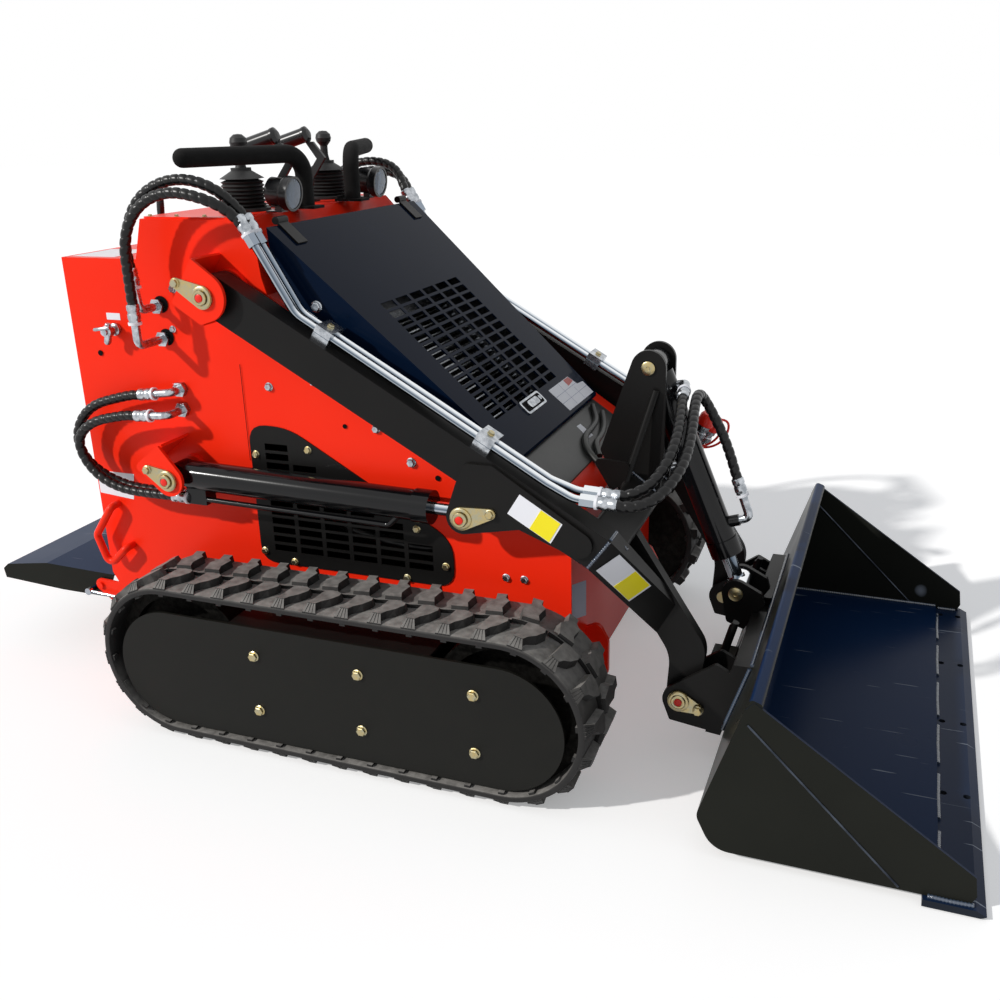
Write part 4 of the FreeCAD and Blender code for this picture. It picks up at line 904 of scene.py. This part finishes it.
def seated(name, corners, look, lift):
    """A sheet's corners on a node, lifted off it, and the way the sheet faces."""
    hits = [seat(name, c, look) for c in corners]
    away = sum((normal for _, normal in hits), Vector()).normalized()
    return [spot + away * lift for spot, _ in hits], away


def label(kit, name, corners, look):
    """A thin sheet on a node, from its corners in drawing millimetres."""
    outline, away = seated(name, corners, look, 0.0)
    kit.slab(outline, away * 0.0005)


# %% [markdown]
# **Screws.** The machine is held together by flanged hexagon screws: zinc on the body, brass-coloured on
# the guards. One item with a few dozen faces is repeated by the first tree.

# %% Screws
screw = Kit()
screw.turned([(0.0098, 0.0), (0.0098, 0.0012), (0.0084, 0.0022)], (0, 0, 0), (0, 0, 1), 14)
screw.turned([(0.0082, 0.0018), (0.0082, 0.0062), (0.0068, 0.0074)], (0, 0, 0), (0, 0, 1), 6)
flange_screw = item_object("flange_screw", screw)

WALL = 342
wall_screws, guard_screws, cheek_screws = [], [], []
for side in (-1, 1):
    look = (0, -side, 0)
    for x, z, size in ((-213, 755, 1.0), (-102, 773, 1.0), (38, 682, 1.0), (115, 616, 1.1), (319, 384, 0.9),
                       (359, 385, 0.9), (-429, 956, 1.0), (-443, 868, 0.8), (-10, 742, 1.0), (196, 520, 0.9)):
        spot, normal = seat("chassis_shell", (x, side * WALL, z), look)
        wall_screws.append((spot, normal, size))
    for x, z in ((-265, 372), (-189, 354), (184, 392), (91, 353), (-262, 601), (-129, 622), (120, 470)):
        guard_screws.append((mm(x, side * 343, z), (0, side, 0), 0.9))
    for x in (-158, 86, 336):
        for z in (111, 240):
            guard_screws.append((mm(x, side * 576, z), (0, side, 0), 1.22))
    spot, normal = seat("hood_panel", (-84, side * 335, 929), look)
    cheek_screws.append((spot, normal, 1.25))
    for x in (-478, -410, -340, -278):
        guard_screws.append((mm(x, side * 322, 1104), (0, 0, 1), 0.55))
    for x, z, y in ((-340, 985, 445), (-478, 576, 445)):
        guard_screws.append((mm(x, side * y, z), (0, side, 0), 1.06))
# The upper arm falls forwards by 0.5744, and this is the way its top faces.
ARM_FALL, OUT_X, OUT_Z = 0.5744, 0.498, 0.867
arm_screws = [(mm(322, side * 428, 556), (0, side, 0), 1.06) for side in (-1, 1)]
for side in (-1, 1):
    for x, z in ((-30, 897), (308, 703)):
        spot, normal = seat("arm_tubes", (x, side * 376, z), (-OUT_X, 0, -OUT_Z))
        arm_screws.append((spot, normal, 0.85))
bucket_screws = [(mm(721, side * 308.4, 127), (0, side, 0), 1.1) for side in (-1, 1)]


def screw_down(name, spots, finish, body):
    """One screw at each (place, facing, size)."""
    grow(name, pattern(name + "_spots", spots), on_points,
         {"Item": flange_screw, "Finish": finish}, body)


screw_down("body_screws", wall_screws, zinc, "chassis")
screw_down("guard_screws", guard_screws, yellow_zinc, "chassis")
screw_down("hood_screws", cheek_screws, zinc, "hood")
screw_down("arm_screws", arm_screws, yellow_zinc, "lift_arms")
screw_down("bucket_screws", bucket_screws, yellow_zinc, "bucket")

# %% [markdown]
# The two arm tubes are held in split clamp blocks. Each block is two plates with a narrow gap, drawn round
# the drawing's plain block.

# %% Clamp blocks
clamps = Kit()
CLAMP_INNER, CLAMP_OUTER = 348.6, 403.4
for x in (-45, 293):
    foot = [(u, 871.0 - ARM_FALL * (u + 45)) for u in (x - 16.2, x + 16.2)]
    for low, high in ((-1.0, 14.4), (16.0, 31.4)):
        quad = [(a + OUT_X * low, b + OUT_Z * low) for a, b in foot]
        quad += [(a + OUT_X * high, b + OUT_Z * high) for a, b in foot[::-1]]
        for side in (-1, 1):
            clamps.slab([mm(a, side * CLAMP_INNER, b) for a, b in quad],
                        Vector((0, side * (CLAMP_OUTER - CLAMP_INNER) / 1000, 0)))
clamps.finish("tube_clamps", zinc, "lift_arms", "plated_steel")

# %% [markdown]
# **Pin ends.** Each pivot pin is kept by a plate with one screw. Its end shows a washer, a turned rim and a
# red plastic plug that keeps dirt out of the grease nipple.

# %% Washers, rims and plugs
pin_ends = {"chassis": [(-280, 958, 445, 452), (-430, 555, 445, 452)], "lift_arms": [(260, 540, 428, 436)],
            "bucket": [(680, 139, 305, 308)]}
for owner, pins in pin_ends.items():
    rims, plugs = Kit(), Kit()
    for x, z, plate_y, end_y in pins:
        for side in (-1, 1):
            out = (0, side, 0)
            rims.turned([(0.0225, 0.0), (0.0225, 0.002), (0.0205, 0.0032), (0.0165, 0.0032), (0.0165, 0.0005)],
                        mm(x, side * plate_y, z), out, 28)
            rims.turned([(0.0152, -0.002), (0.0152, 0.0008), (0.0138, 0.0022), (0.0098, 0.0022), (0.0092, 0.0006)],
                        mm(x, side * end_y, z), out, 24)
            plugs.turned([(0.0082, 0.0), (0.0082, 0.0026), (0.0060, 0.0036)], mm(x, side * end_y, z), out, 16)
    rims.finish(f"pin_rims_{owner}", yellow_zinc, owner, "plated_steel")
    plugs.finish(f"pin_plugs_{owner}", red_plug, owner, "red_paint")
tower_spots = [seat("cross_member", (541, side * 60, 776), (0, -side, 0))[0] for side in (-1, 1)]
rod_spots = [mm(749, side * 54, 280) for side in (-1, 1)]
for cap_name, spots, owner, wide, crown in (("tower_pin_caps", tower_spots, "lift_arms", 0.0150, 0.0134),
                                            ("rod_pin_caps", rod_spots, "bucket", 0.0158, 0.0140)):
    pin_caps = Kit()
    for spot, side in zip(spots, (-1, 1)):
        pin_caps.turned([(wide, -0.001), (wide, 0.0010), (crown, 0.0020), (0.0045, 0.0020), (0.0035, 0.0008)],
                        spot, (0, side, 0), 24)
    pin_caps.finish(cap_name, yellow_zinc, owner, "plated_steel")

# %% [markdown]
# **Punched grilles.** The hood and the side guards are sheets punched with rows of slots so that the oil
# cooler and the engine can breathe. A tree lays one slot-shaped block on a grid of points, and a Boolean
# takes those blocks out of the sheet, which is just what a punch does.

# %% Punch the hood


def oblong(half_u, half_v, u=0.0, v=0.0):
    """Corners of an oblong round a middle."""
    return [(u - half_u, v - half_v), (u + half_u, v - half_v), (u + half_u, v + half_v), (u - half_u, v + half_v)]


def block(half_u, half_v, low, high):
    """A slot-shaped block: u and v across the sheet, and from low to high through it."""
    kit = Kit()
    kit.slab([Vector((u, v, low)) / 1000 for u, v in oblong(half_u, half_v)], Vector((0, 0, high - low)) / 1000)
    return item_object("slot_block", kit)


def punched(name, mesh, spots, item, material, body):
    """A sheet with an item taken out at each spot."""
    cut_out = evaluated(pattern(name + "_slots", spots), on_points, {"Item": item})
    blocks = bpy.data.objects.new(name + "_blocks", cut_out)
    scene.collection.objects.link(blocks)
    sheet = bpy.data.objects.new(name, mesh)
    scene.collection.objects.link(sheet)
    cutter = sheet.modifiers.new("punch", "BOOLEAN")
    cutter.operation, cutter.solver, cutter.object = "DIFFERENCE", "EXACT", blocks
    result = frozen(sheet)
    bpy.data.objects.remove(sheet)
    bpy.data.objects.remove(blocks)
    result.name = name
    result.materials.clear()
    result.materials.append(material)
    print(name, len(spots), "slots,", len(result.polygons), "faces")
    return place(bpy.data.objects.new(name, result), body)


def merged_copy(name):
    """A copy of a node's mesh with its loose triangles joined."""
    mesh = mended(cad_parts[name].data.copy(), merge=1e-5, outward=False)
    for attribute in [a.name for a in mesh.attributes if a.name.startswith("custom_normal")]:
        mesh.attributes.remove(mesh.attributes[attribute])
    return mesh


HOOD_X, DOWN_X, DOWN_Z = -179, 0.7405, 0.672
SLOPE, RISE = Vector((DOWN_X, 0, -DOWN_Z)), Vector((DOWN_Z, 0, DOWN_X))


def on_hood(along_slope, y, lift=0.0):
    """A place on the hood's sloping top, from millimetres down it, across it and above it."""
    return mm(HOOD_X, y, 1086) + SLOPE * (along_slope / 1000) + RISE * (lift / 1000)


def hood_strip(s0, s1, y0, y1, lift):
    """Corners of a strip that lies along the hood's slope."""
    return [on_hood(s, y, lift) for s, y in ((s0, y0), (s1, y0), (s1, y1), (s0, y1))]


hood_slots = [(on_hood(256 + 25.2 * row, -195 + 69 * column), RISE, 1.0) for row in range(14) for column in range(6)]
hood = punched("hood_sheet", merged_copy("hood_panel"), hood_slots, block(9.0, 28.0, -14, 8), hood_coat, "hood")
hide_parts("hood_panel")

# %% [markdown]
# The side guard's slots stop at its sloping edge, so the rule is: keep a slot where its whole width lies
# under the slope.

# %% Punch the side guards


def curved(before, here, after, radius, share, steps):
    """A short curve in place of a corner. It uses at most one part in share of either side."""
    r = min(radius, (before - here).length / share, (after - here).length / share)
    a, b = here + (before - here).normalized() * r, here + (after - here).normalized() * r
    return [a * (1 - t) ** 2 + here * 2 * t * (1 - t) + b * t * t for t in (k / steps for k in range(steps + 1))]


def softened(corners, radius=18, steps=5):
    """A closed outline with its corners rounded."""
    run = [Vector(corner) for corner in corners]
    out = []
    for i, here in enumerate(run):
        out += curved(run[i - 1], here, run[(i + 1) % len(run)], radius, 2.2, steps)
    return out


guard_outline = softened([(-275, 345), (202, 345), (202, 452), (-176, 668), (-275, 668)], 42)
for side, side_name in ((-1, "right"), (1, "left")):
    sheet = Kit()
    sheet.slab([mm(p.x, side * 340.2, p.y) for p in guard_outline], Vector((0, side * 0.0028, 0)))
    spots = []
    for row in range(13):
        for column in range(6):
            x, z = -209 + 67 * column, 384 + 21.5 * row
            edge = 452 + (202 - (x + 29)) * 216 / 378
            if z + 7 < edge - 30 and z < 640:
                spots.append((mm(x, side * 341.6, z), (0, side, 0), 1.0))
    guard = punched(f"side_guard_{side_name}", sheet.mesh("guard_sheet"), spots, block(28.5, 7.6, -9, 9), arm_coat,
                    "chassis")
    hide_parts("side_grilles")

# %% [markdown]
# **What shows behind the grilles.** The engine is an air-cooled twin: a crankcase, two finned cylinders, a
# round blower housing with the air filter over it, and an oil cooler close under the hood. It only shows
# through slots or with the hood open, so simple turned and pushed solids are enough, but they are real
# shapes, so light falls between them.

# %% Engine, blower and oil cooler
iron_parts, cooler_parts, dark_parts = Kit(), Kit(), Kit()
case = [(-110, 122), (200, 122), (200, 300), (160, 345), (-70, 345), (-110, 300)]
iron_parts.slab([mm(x, -105, z) for x, z in case], Vector((0, 0.21, 0)))
for x in (-40, 110):
    for k in range(9):
        z = 348 + 13 * k
        wide = 62 - 1.2 * k
        ring = softened(oblong(wide, wide + 8, x), 20, 3)
        iron_parts.slab([mm(p.x, p.y, z) for p in ring], Vector((0, 0, 0.006)))
    iron_parts.turned([(0.045, 0.0), (0.045, 0.125)], mm(x, 0, 345), (0, 0, 1), 20)
dark_parts.turned([(0.13, 0.0), (0.15, 0.012), (0.15, 0.05), (0.10, 0.075), (0.055, 0.082), (0.05, 0.07)],
                  mm(200, 0, 300), (1, 0, 0), 36)
dark_parts.turned([(0.052, 0.0), (0.062, 0.008), (0.062, 0.15), (0.058, 0.165), (0.02, 0.17)], mm(-100, -85, 530),
                  (0, 1, 0), 28)
frame_lines = [(240, -215), (590, -215), (590, 215), (240, 215)]
for (s0, y0), (s1, y1) in ((frame_lines[i], frame_lines[(i + 1) % 4]) for i in range(4)):
    along = Vector((s1 - s0, y1 - y0)).normalized() * 9
    across = Vector((-along.y, along.x))
    quad = [(s0 - across.x - along.x, y0 - across.y - along.y), (s1 - across.x + along.x, y1 - across.y + along.y),
            (s1 + across.x + along.x, y1 + across.y + along.y), (s0 + across.x - along.x, y0 + across.y - along.y)]
    cooler_parts.slab([on_hood(s, y, -118) for s, y in quad], RISE * 0.036)
for k in range(24):
    s = 250 + 14.4 * k
    cooler_parts.slab(hood_strip(s, s + 3.2, -206, 206, -112), RISE * 0.026)
for k in range(30):
    y = -200 + 13.8 * k
    iron_parts.slab(hood_strip(252, 586, y, y + 1.2, -114), RISE * 0.018)
for y in (-229, 226):
    dark_parts.slab([on_hood(s, y, h) for s, h in ((232, -118), (598, -118), (598, -9), (232, -9))],
                    Vector((0, 0.003, 0)))
dark_parts.slab([on_hood(232, y, h) for y, h in ((-226, -118), (226, -118), (226, -9), (-226, -9))], SLOPE * 0.003)
engine = iron_parts.finish("engine_castings", iron, "chassis", "cast")
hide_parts("engine_block")
cooler_parts.finish("oil_cooler", zinc, "chassis", "cast")
dark_parts.finish("blower_and_filter", hard_plastic, "chassis", "black_paint")
sweep("engine_hoses", [
    [(-60, 150, 560), (0, 170, 640), (90, 150, 640), (150, 60, 600), (210, -20, 500)],
    [(120, -150, 420), (60, -190, 470), (-60, -190, 520), (-140, -120, 640), (-160, 20, 700)],
    [(-180, -150, 400), (-150, -260, 430), (60, -290, 400), (170, -240, 390), (230, -120, 360)]],
      {"Radius": 0.011, "Step": 0.012, "Sides": 12, "Finish": guard_nylon}, "chassis")

# %% [markdown]
# **Hood latch.** The latch is a pressed tray with a pull paddle in it.

# %% Latch
latch = Kit()
frame_out = softened(oblong(18, 60), 9, 4)
frame_in = softened(oblong(13, 54), 6, 4)
middle_s, middle_y = 610, -33


def on_latch(line, lift):
    """An outline round the latch's middle, laid on the hood."""
    return [on_hood(middle_s + p.x, middle_y + p.y, lift) for p in line]


n = len(frame_out)
loops = on_latch(frame_out, 0.2) + on_latch(frame_out, 3.4) + on_latch(frame_in, 3.4) + on_latch(frame_in, 1.0)
latch.solid(loops, [list(range(n))[::-1], [3 * n + k for k in range(n)]]
            + [[r * n + k, r * n + (k + 1) % n, (r + 1) * n + (k + 1) % n, (r + 1) * n + k]
               for r in range(3) for k in range(n)])
tray = latch.finish("latch_frame", zinc, "hood", "chrome_rod")
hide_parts("hood_latch")
paddle = Kit()
paddle_line = softened(oblong(9, 30), 8, 4)
paddle.slab(on_latch(paddle_line, 1.0), RISE * 0.0045)
paddle.turned([(0.006, 0.0), (0.006, 0.004), (0.004, 0.005)], on_hood(middle_s, middle_y + 42, 1.0), RISE, 16)
paddle.finish("latch_paddle", zinc, "hood", "chrome_rod")

# A near-black sheet in the tray is painted shade in the latch's well.
well = Kit()
well.slab(on_latch(frame_in, 0.9), RISE * 0.0003)
well.finish("latch_well", shade_and_joint_black, "hood", "chrome_rod")

# %% [markdown]
# **Labels.** They are blank vinyl: their places and colours are the real ones, and nothing is printed on
# them. Each sheet's corners are cast onto the wall behind it, so it leans as the wall does.

# %% Labels
whites, greys, reds = Kit(), Kit(), Kit()
arm_whites, arm_yellows = Kit(), Kit()
# The lower one lies on a twisted face, so it stands a little further off.
arm_plates = ((0.0002, [(383, 418, 603), (469, 418, 551), (445, 418, 509), (357, 418, 561)]),
              (0.0014, [(573, 394, 492), (621, 327, 404), (580, 336, 370), (530, 404, 457)]))
for side, arm_name in ((-1, "arm_right"), (1, "arm_left")):
    for lift, corners in arm_plates:
        (a, b, c, d), away = seated(arm_name, [(x, side * y, z) for x, y, z in corners], (0, -side, 0), lift)
        arm_whites.slab([a, b, c, d], away * 0.0009)
        half = [a.lerp(b, 0.5), a.lerp(b, 0.97), d.lerp(c, 0.97), d.lerp(c, 0.5)]
        middle = sum(half, Vector()) / 4
        arm_yellows.slab([p.lerp(middle, 0.04) + away * 0.0009 for p in half], away * 0.0009)
wall_look = (0, 1, 0)
label(whites, "chassis_shell", [(-618, -342, 882), (-581, -342, 882), (-581, -342, 897), (-618, -342, 897)], wall_look)
label(whites, "chassis_shell", [(-716, -342, 520), (-609, -342, 520), (-620, -342, 456), (-716, -342, 464)], wall_look)
label(whites, "chassis_shell", [(-705, -320, 1016), (-590, -320, 1016), (-590, -190, 1016), (-705, -190, 1016)],
      (0, 0, -1))
label(greys, "chassis_shell", [(460, -335, 385), (460, -236, 353), (460, -235, 270), (460, -335, 306)], (-1, 0, 0))
label(whites, "front_flap", [(341, 76, 594), (342, 101, 593), (376, 93, 570), (374, 61, 571)], (-0.55, 0, -0.83))
whites.finish("body_labels", label_white, "chassis", "grey_paint")
greys.finish("front_label", label_grey, "chassis", "grey_paint")
arm_whites.finish("arm_labels_white", label_white, "lift_arms", "grey_paint")
arm_yellows.finish("arm_labels_yellow", label_yellow, "lift_arms", "grey_paint")


def down_hood(x):
    """How far down the hood's slope a drawing X is."""
    return (x - HOOD_X) / DOWN_X


hood_label = [(272, 81), (272, 228), (293, 240), (296, 278), (324, 278), (323, 88)]
whites = Kit()
whites.slab([on_hood(down_hood(x), y, 0.1) for x, y in hood_label], RISE * 0.0006)
whites.finish("hood_label", label_white, "hood", "grey_paint")
reds.slab([on_hood(down_hood(x), y, 0.5) for x, y in ((273, 190), (273, 226), (284, 232), (287, 190))], RISE * 0.0006)
reds.finish("hood_label_red", label_red, "hood", "grey_paint")
greys = Kit()
for x0, x1, y0, y1 in ((290, 290.8, 86, 240), (306, 306.8, 86, 276), (274, 322, 150, 151), (295, 322, 210, 211)):
    greys.slab(hood_strip(down_hood(x0), down_hood(x1), y0, y1, 0.5), RISE * 0.0004)
greys.finish("hood_label_lines", label_grey, "hood", "grey_paint")

# %% [markdown]
# **Weld beads.** The bucket, arms and attachment plate are welded by hand, and the beads show as rippled
# ropes, a few millimetres thick, with a ripple every 5 mm. The third tree makes them with its winding at 0.

# %% Weld beads


def beads(name, lines, body, radius):
    """Weld beads along lines of drawing points."""
    sweep(name, lines, {"Radius": radius, "Pitch": 0.0058, "Depth": 0.0016, "Winding": 0.0, "Step": 0.0018,
                        "Groove": 1.6, "Sides": 9, "Finish": weld_coat}, body, order=1)


bucket_seams = []
for side in (-1, 1):
    y = side * 585.5
    bucket_seams += [[(816, y, 26), (1189, y, 25.5)], [(1193, y, 19.5), (1238, y, 19.5)],
                     [(786, y, 96), (812, y, 176), (853, y, 302)]]
    bucket_seams += [[(1172, side * 595, 19), (1210, side * 596.5, 19), (1247, side * 595, 19)]]
for k in range(6):
    y = -560 + 191 * k
    bucket_seams.append([(1192, y, 20), (1191, y + 70, 20.5), (1192, y + 150, 20)])
bucket_seams += [[(823, -298, 243), (823, 298, 243)], [(772, 302, 88), (820, 302, 238)],
                 [(772, -302, 88), (820, -302, 238)]]
beads("bucket_welds", bucket_seams, "bucket", 0.0048)
folds = []
for side in (-1, 1):
    for y in (593.2, 586.8):
        folds.append([(856, side * y, 290), (992, side * y, 156), (1126, side * y, 24)])
sweep("bucket_fold_lines", folds, {"Radius": 0.0026, "Depth": 0.0006, "Pitch": 0.03, "Winding": 0.0, "Step": 0.012,
                                   "Groove": 2.0, "Sides": 8, "Finish": edge_steel}, "bucket", order=1)

arm_seams = []
for side in (-1, 1):
    arm_seams += [[(516, side * 416, 463), (538, side * 416.5, 493), (560, side * 416, 523)],
                  [(560, side * 410, 524), (560, side * 365, 524)],
                  [(500, side * 362, 463), (548, side * 362, 438)], [(582, side * 362, 488), (514, side * 362, 543)]]
    for y in (42, 54):
        arm_seams.append([(487, side * y, 500), (512, side * y, 541), (560, side * y, 506), (579, side * y, 488)])
    arm_seams.append([(452, side * 104, 582), (500, side * 104, 548)])
beads("arm_welds", arm_seams, "lift_arms", 0.0038)

# %% [markdown]
# **Small fittings.** Lamp glasses over faceted reflectors come first. A glass needs its own finish, which
# lets light through.

# %% Lamp glasses


def glass(name):
    """Clear moulded lens: smooth with faint waves."""
    made, tree, coords, shader = start(name)
    wave = add(tree, "ShaderNodeTexNoise", {"Vector": coords, "Scale": per(12)})
    tone = add(tree, "ShaderNodeMix", {"Factor": wave.outputs[0], 6: rgb("#C9D8E6"), 7: rgb("#9FB4C8")},
               data_type="RGBA")
    bump = add(tree, "ShaderNodeBump", {"Height": wave.outputs[0], "Strength": 0.2, "Distance": 0.001})
    fill(tree, shader, {"Base Color": tone.outputs[2], "Normal": bump.outputs[0], "Transmission Weight": 1.0,
                        "Roughness": 0.03, "IOR": 1.49})
    return made


clear = glass("clear_polycarbonate")
mirrors, glasses = Kit(), Kit()
for side in (-1, 1):
    axis = Vector((1, 0, -0.1)).normalized()
    at = mm(-258, side * 200, 1147)
    mirrors.turned([(0.0305, 0.0545), (0.0305, 0.0592), (0.0285, 0.0592), (0.0225, 0.0572), (0.012, 0.0558),
                    (0.006, 0.0572), (0.003, 0.0578)], at, axis, 12)
    glasses.turned([(0.0306, 0.0594), (0.0306, 0.0606), (0.022, 0.0618), (0.010, 0.0625), (0.002, 0.0627)], at, axis,
                   28)
mirrors.smooth = [False] * len(mirrors.smooth)
mirrors.finish("lamp_reflectors", reflector, "chassis", "lamp")
glasses.finish("lamp_glasses", clear, "chassis", "lamp")

# %% [markdown]
# Next come a drain valve with a T handle on the right wall, dark discs of painted shade where holes show, the thin seam
# where two sheets of a wall meet, and the lever at the back of the deck.

# %% Valve, lever and wall holes
fittings = Kit()
for profile, at, direction, sides in (
        ([(0.014, 0.0), (0.014, 0.008), (0.009, 0.010), (0.009, 0.018), (0.013, 0.020), (0.013, 0.034),
          (0.008, 0.036), (0.008, 0.042)], (-595, -WALL, 862), (0, -1, 0), 18),
        ([(0.0055, 0.0), (0.008, 0.002), (0.008, 0.022), (0.0055, 0.026)], (-595, -368, 858), (-0.3, 0, -1), 14),
        ([(0.005, 0.0), (0.0065, 0.003), (0.0065, 0.012), (0.005, 0.014)], (-595, -370, 866), (0.3, 0, 1), 14),
        ([(0.003, -0.022), (0.0042, -0.019), (0.0042, 0.019), (0.003, 0.022)], (-598, -384, 870), (1, 0, 0.15), 12)):
    fittings.turned(profile, mm(*at), direction, sides)
fittings.finish("drain_valve", zinc, "chassis", "plated_steel")
# Near-black discs on the walls are painted shade where holes show.
holes = Kit()
for side in (-1, 1):
    for x, z, r in ((-35, 682, 5), (174, 588, 6), (-650, 805, 6.5)):
        holes.turned([(r / 1000, -0.0005), (r / 1000, 0.0002)], mm(x, side * WALL, z), (0, side, 0), 16)
    for x, z in ((-471, 918), (-467, 847)):
        holes.turned([(0.0185, -0.0005), (0.0185, 0.0003)], mm(x + 6, side * WALL, z + 3), (0, side, 0), 24)
holes.finish("wall_holes", shade_and_joint_black, "chassis", "black_paint")
seams = Kit()
for side in (-1, 1):
    seams.slab([mm(x, side * WALL, z) for x, z in ((-280, 585), (-278.8, 585), (-278.8, 800), (-280, 800))],
               Vector((0, side * 0.0003, 0)))
seams.finish("wall_seams", shade_and_joint_black, "chassis", "black_paint")
# A near-black sheet along the engine bay, so that no light comes through from guard to guard; its colour is painted
# shade inside the bay.
baffle = Kit()
baffle.slab([mm(x, -1.5, z) for x, z in ((-600, 110), (230, 110), (230, 470), (60, 560), (-600, 560))],
            Vector((0, 0.003, 0)))
baffle.finish("bay_divider", shade_and_joint_black, "chassis", "black_paint")
sweep("rear_lever", [[(-549, -200, 1012), (-549, -200, 1060), (-546, -200, 1105), (-543, -200, 1134)]],
      {"Radius": 0.0085, "Pitch": 0.04, "Depth": 0.001, "Winding": 0.0, "Step": 0.004, "Groove": 3.0, "Sides": 14,
       "Finish": hard_plastic}, "chassis")

# %% [markdown]
# Two bent zinc pipes carry the tilt hoses into their cylinder. Rounding their corners keeps the tube's
# width through the bend.

# %% Zinc elbows on the tilt cylinder


def eased(points, radius=14, steps=5):
    """An open run of points with its corners rounded."""
    run = [Vector(p) for p in points]
    out = [run[0]]
    for before, here, after in zip(run, run[1:], run[2:]):
        out += curved(before, here, after, radius, 2.1, steps)
    return out + [run[-1]]


elbow_lines = ([(572, 0, 724.5), (612, 0, 736), (618, -47.5, 731)],
               [(716, 2, 427.7), (763, 2, 443), (745.2, 2, 491.5)])
sweep("tilt_elbows", [eased(line) for line in elbow_lines],
      {"Radius": 0.0097, "Step": 0.003, "Sides": 16, "Finish": zinc}, "tilt_barrel", order=1)

# %% [markdown]
# **The rear cover.** The tank and the valves behind the back wall are reached through one large flat cover,
# a folded sheet held by eight screws. Rounded corners keep the sheet from tearing at its bends.

# %% Rear cover
cover = Kit()
cover_line = softened(oblong(285, 260, 0, 700), 30)
cover.slab([mm(-719, p.x, p.y) for p in cover_line], Vector((-0.0025, 0, 0)))
cover.finish("rear_cover", red_coat, "chassis", "red_paint")
cover_spots = [(mm(-721.5, y, z), (-1, 0, 0), 0.9) for y in (-262, 0, 262) for z in (465, 935)]
cover_spots += [(mm(-721.5, y, 700), (-1, 0, 0), 0.9) for y in (-262, 262)]
screw_down("rear_cover_screws", cover_spots, zinc, "chassis")

# %% [markdown]
# The two quick couplers stand in front of the cross beam, on short pipes, with red rubber caps on red cords.

# %% Attachment couplers
sweep("coupler_pipes", [[(560, 104, 500), (596, 104, 512), (604, 104, 560), (622, 104, 590)],
                        [(552, 150, 496), (600, 150, 508), (610, 150, 540), (628, 150, 566)]],
      {"Radius": 0.007, "Step": 0.006, "Sides": 12, "Finish": zinc}, "lift_arms")
couplers, caps = Kit(), Kit()
for x, y, z in ((622, 104, 590), (628, 150, 566)):
    push = Vector((0.45, 0, 0.89))
    couplers.turned([(0.010, -0.004), (0.0155, 0.0), (0.0155, 0.012), (0.013, 0.014), (0.013, 0.02), (0.016, 0.022),
                     (0.016, 0.036), (0.012, 0.038)], mm(x, y, z), push, 20)
    caps.turned([(0.017, 0.030), (0.019, 0.032), (0.019, 0.052), (0.016, 0.058), (0.006, 0.060)], mm(x, y, z), push,
                20)
couplers.finish("couplers", zinc, "lift_arms", "plated_steel")
caps.finish("coupler_caps", red_plug, "lift_arms", "red_paint")
sweep("cap_cords", [[(648, 104, 640), (672, 108, 642), (676, 116, 600), (650, 118, 566), (622, 108, 560)],
                    [(654, 150, 617), (684, 154, 622), (682, 160, 580), (652, 158, 548), (628, 152, 548)]],
      {"Radius": 0.0028, "Step": 0.006, "Sides": 8, "Finish": red_plug}, "lift_arms")
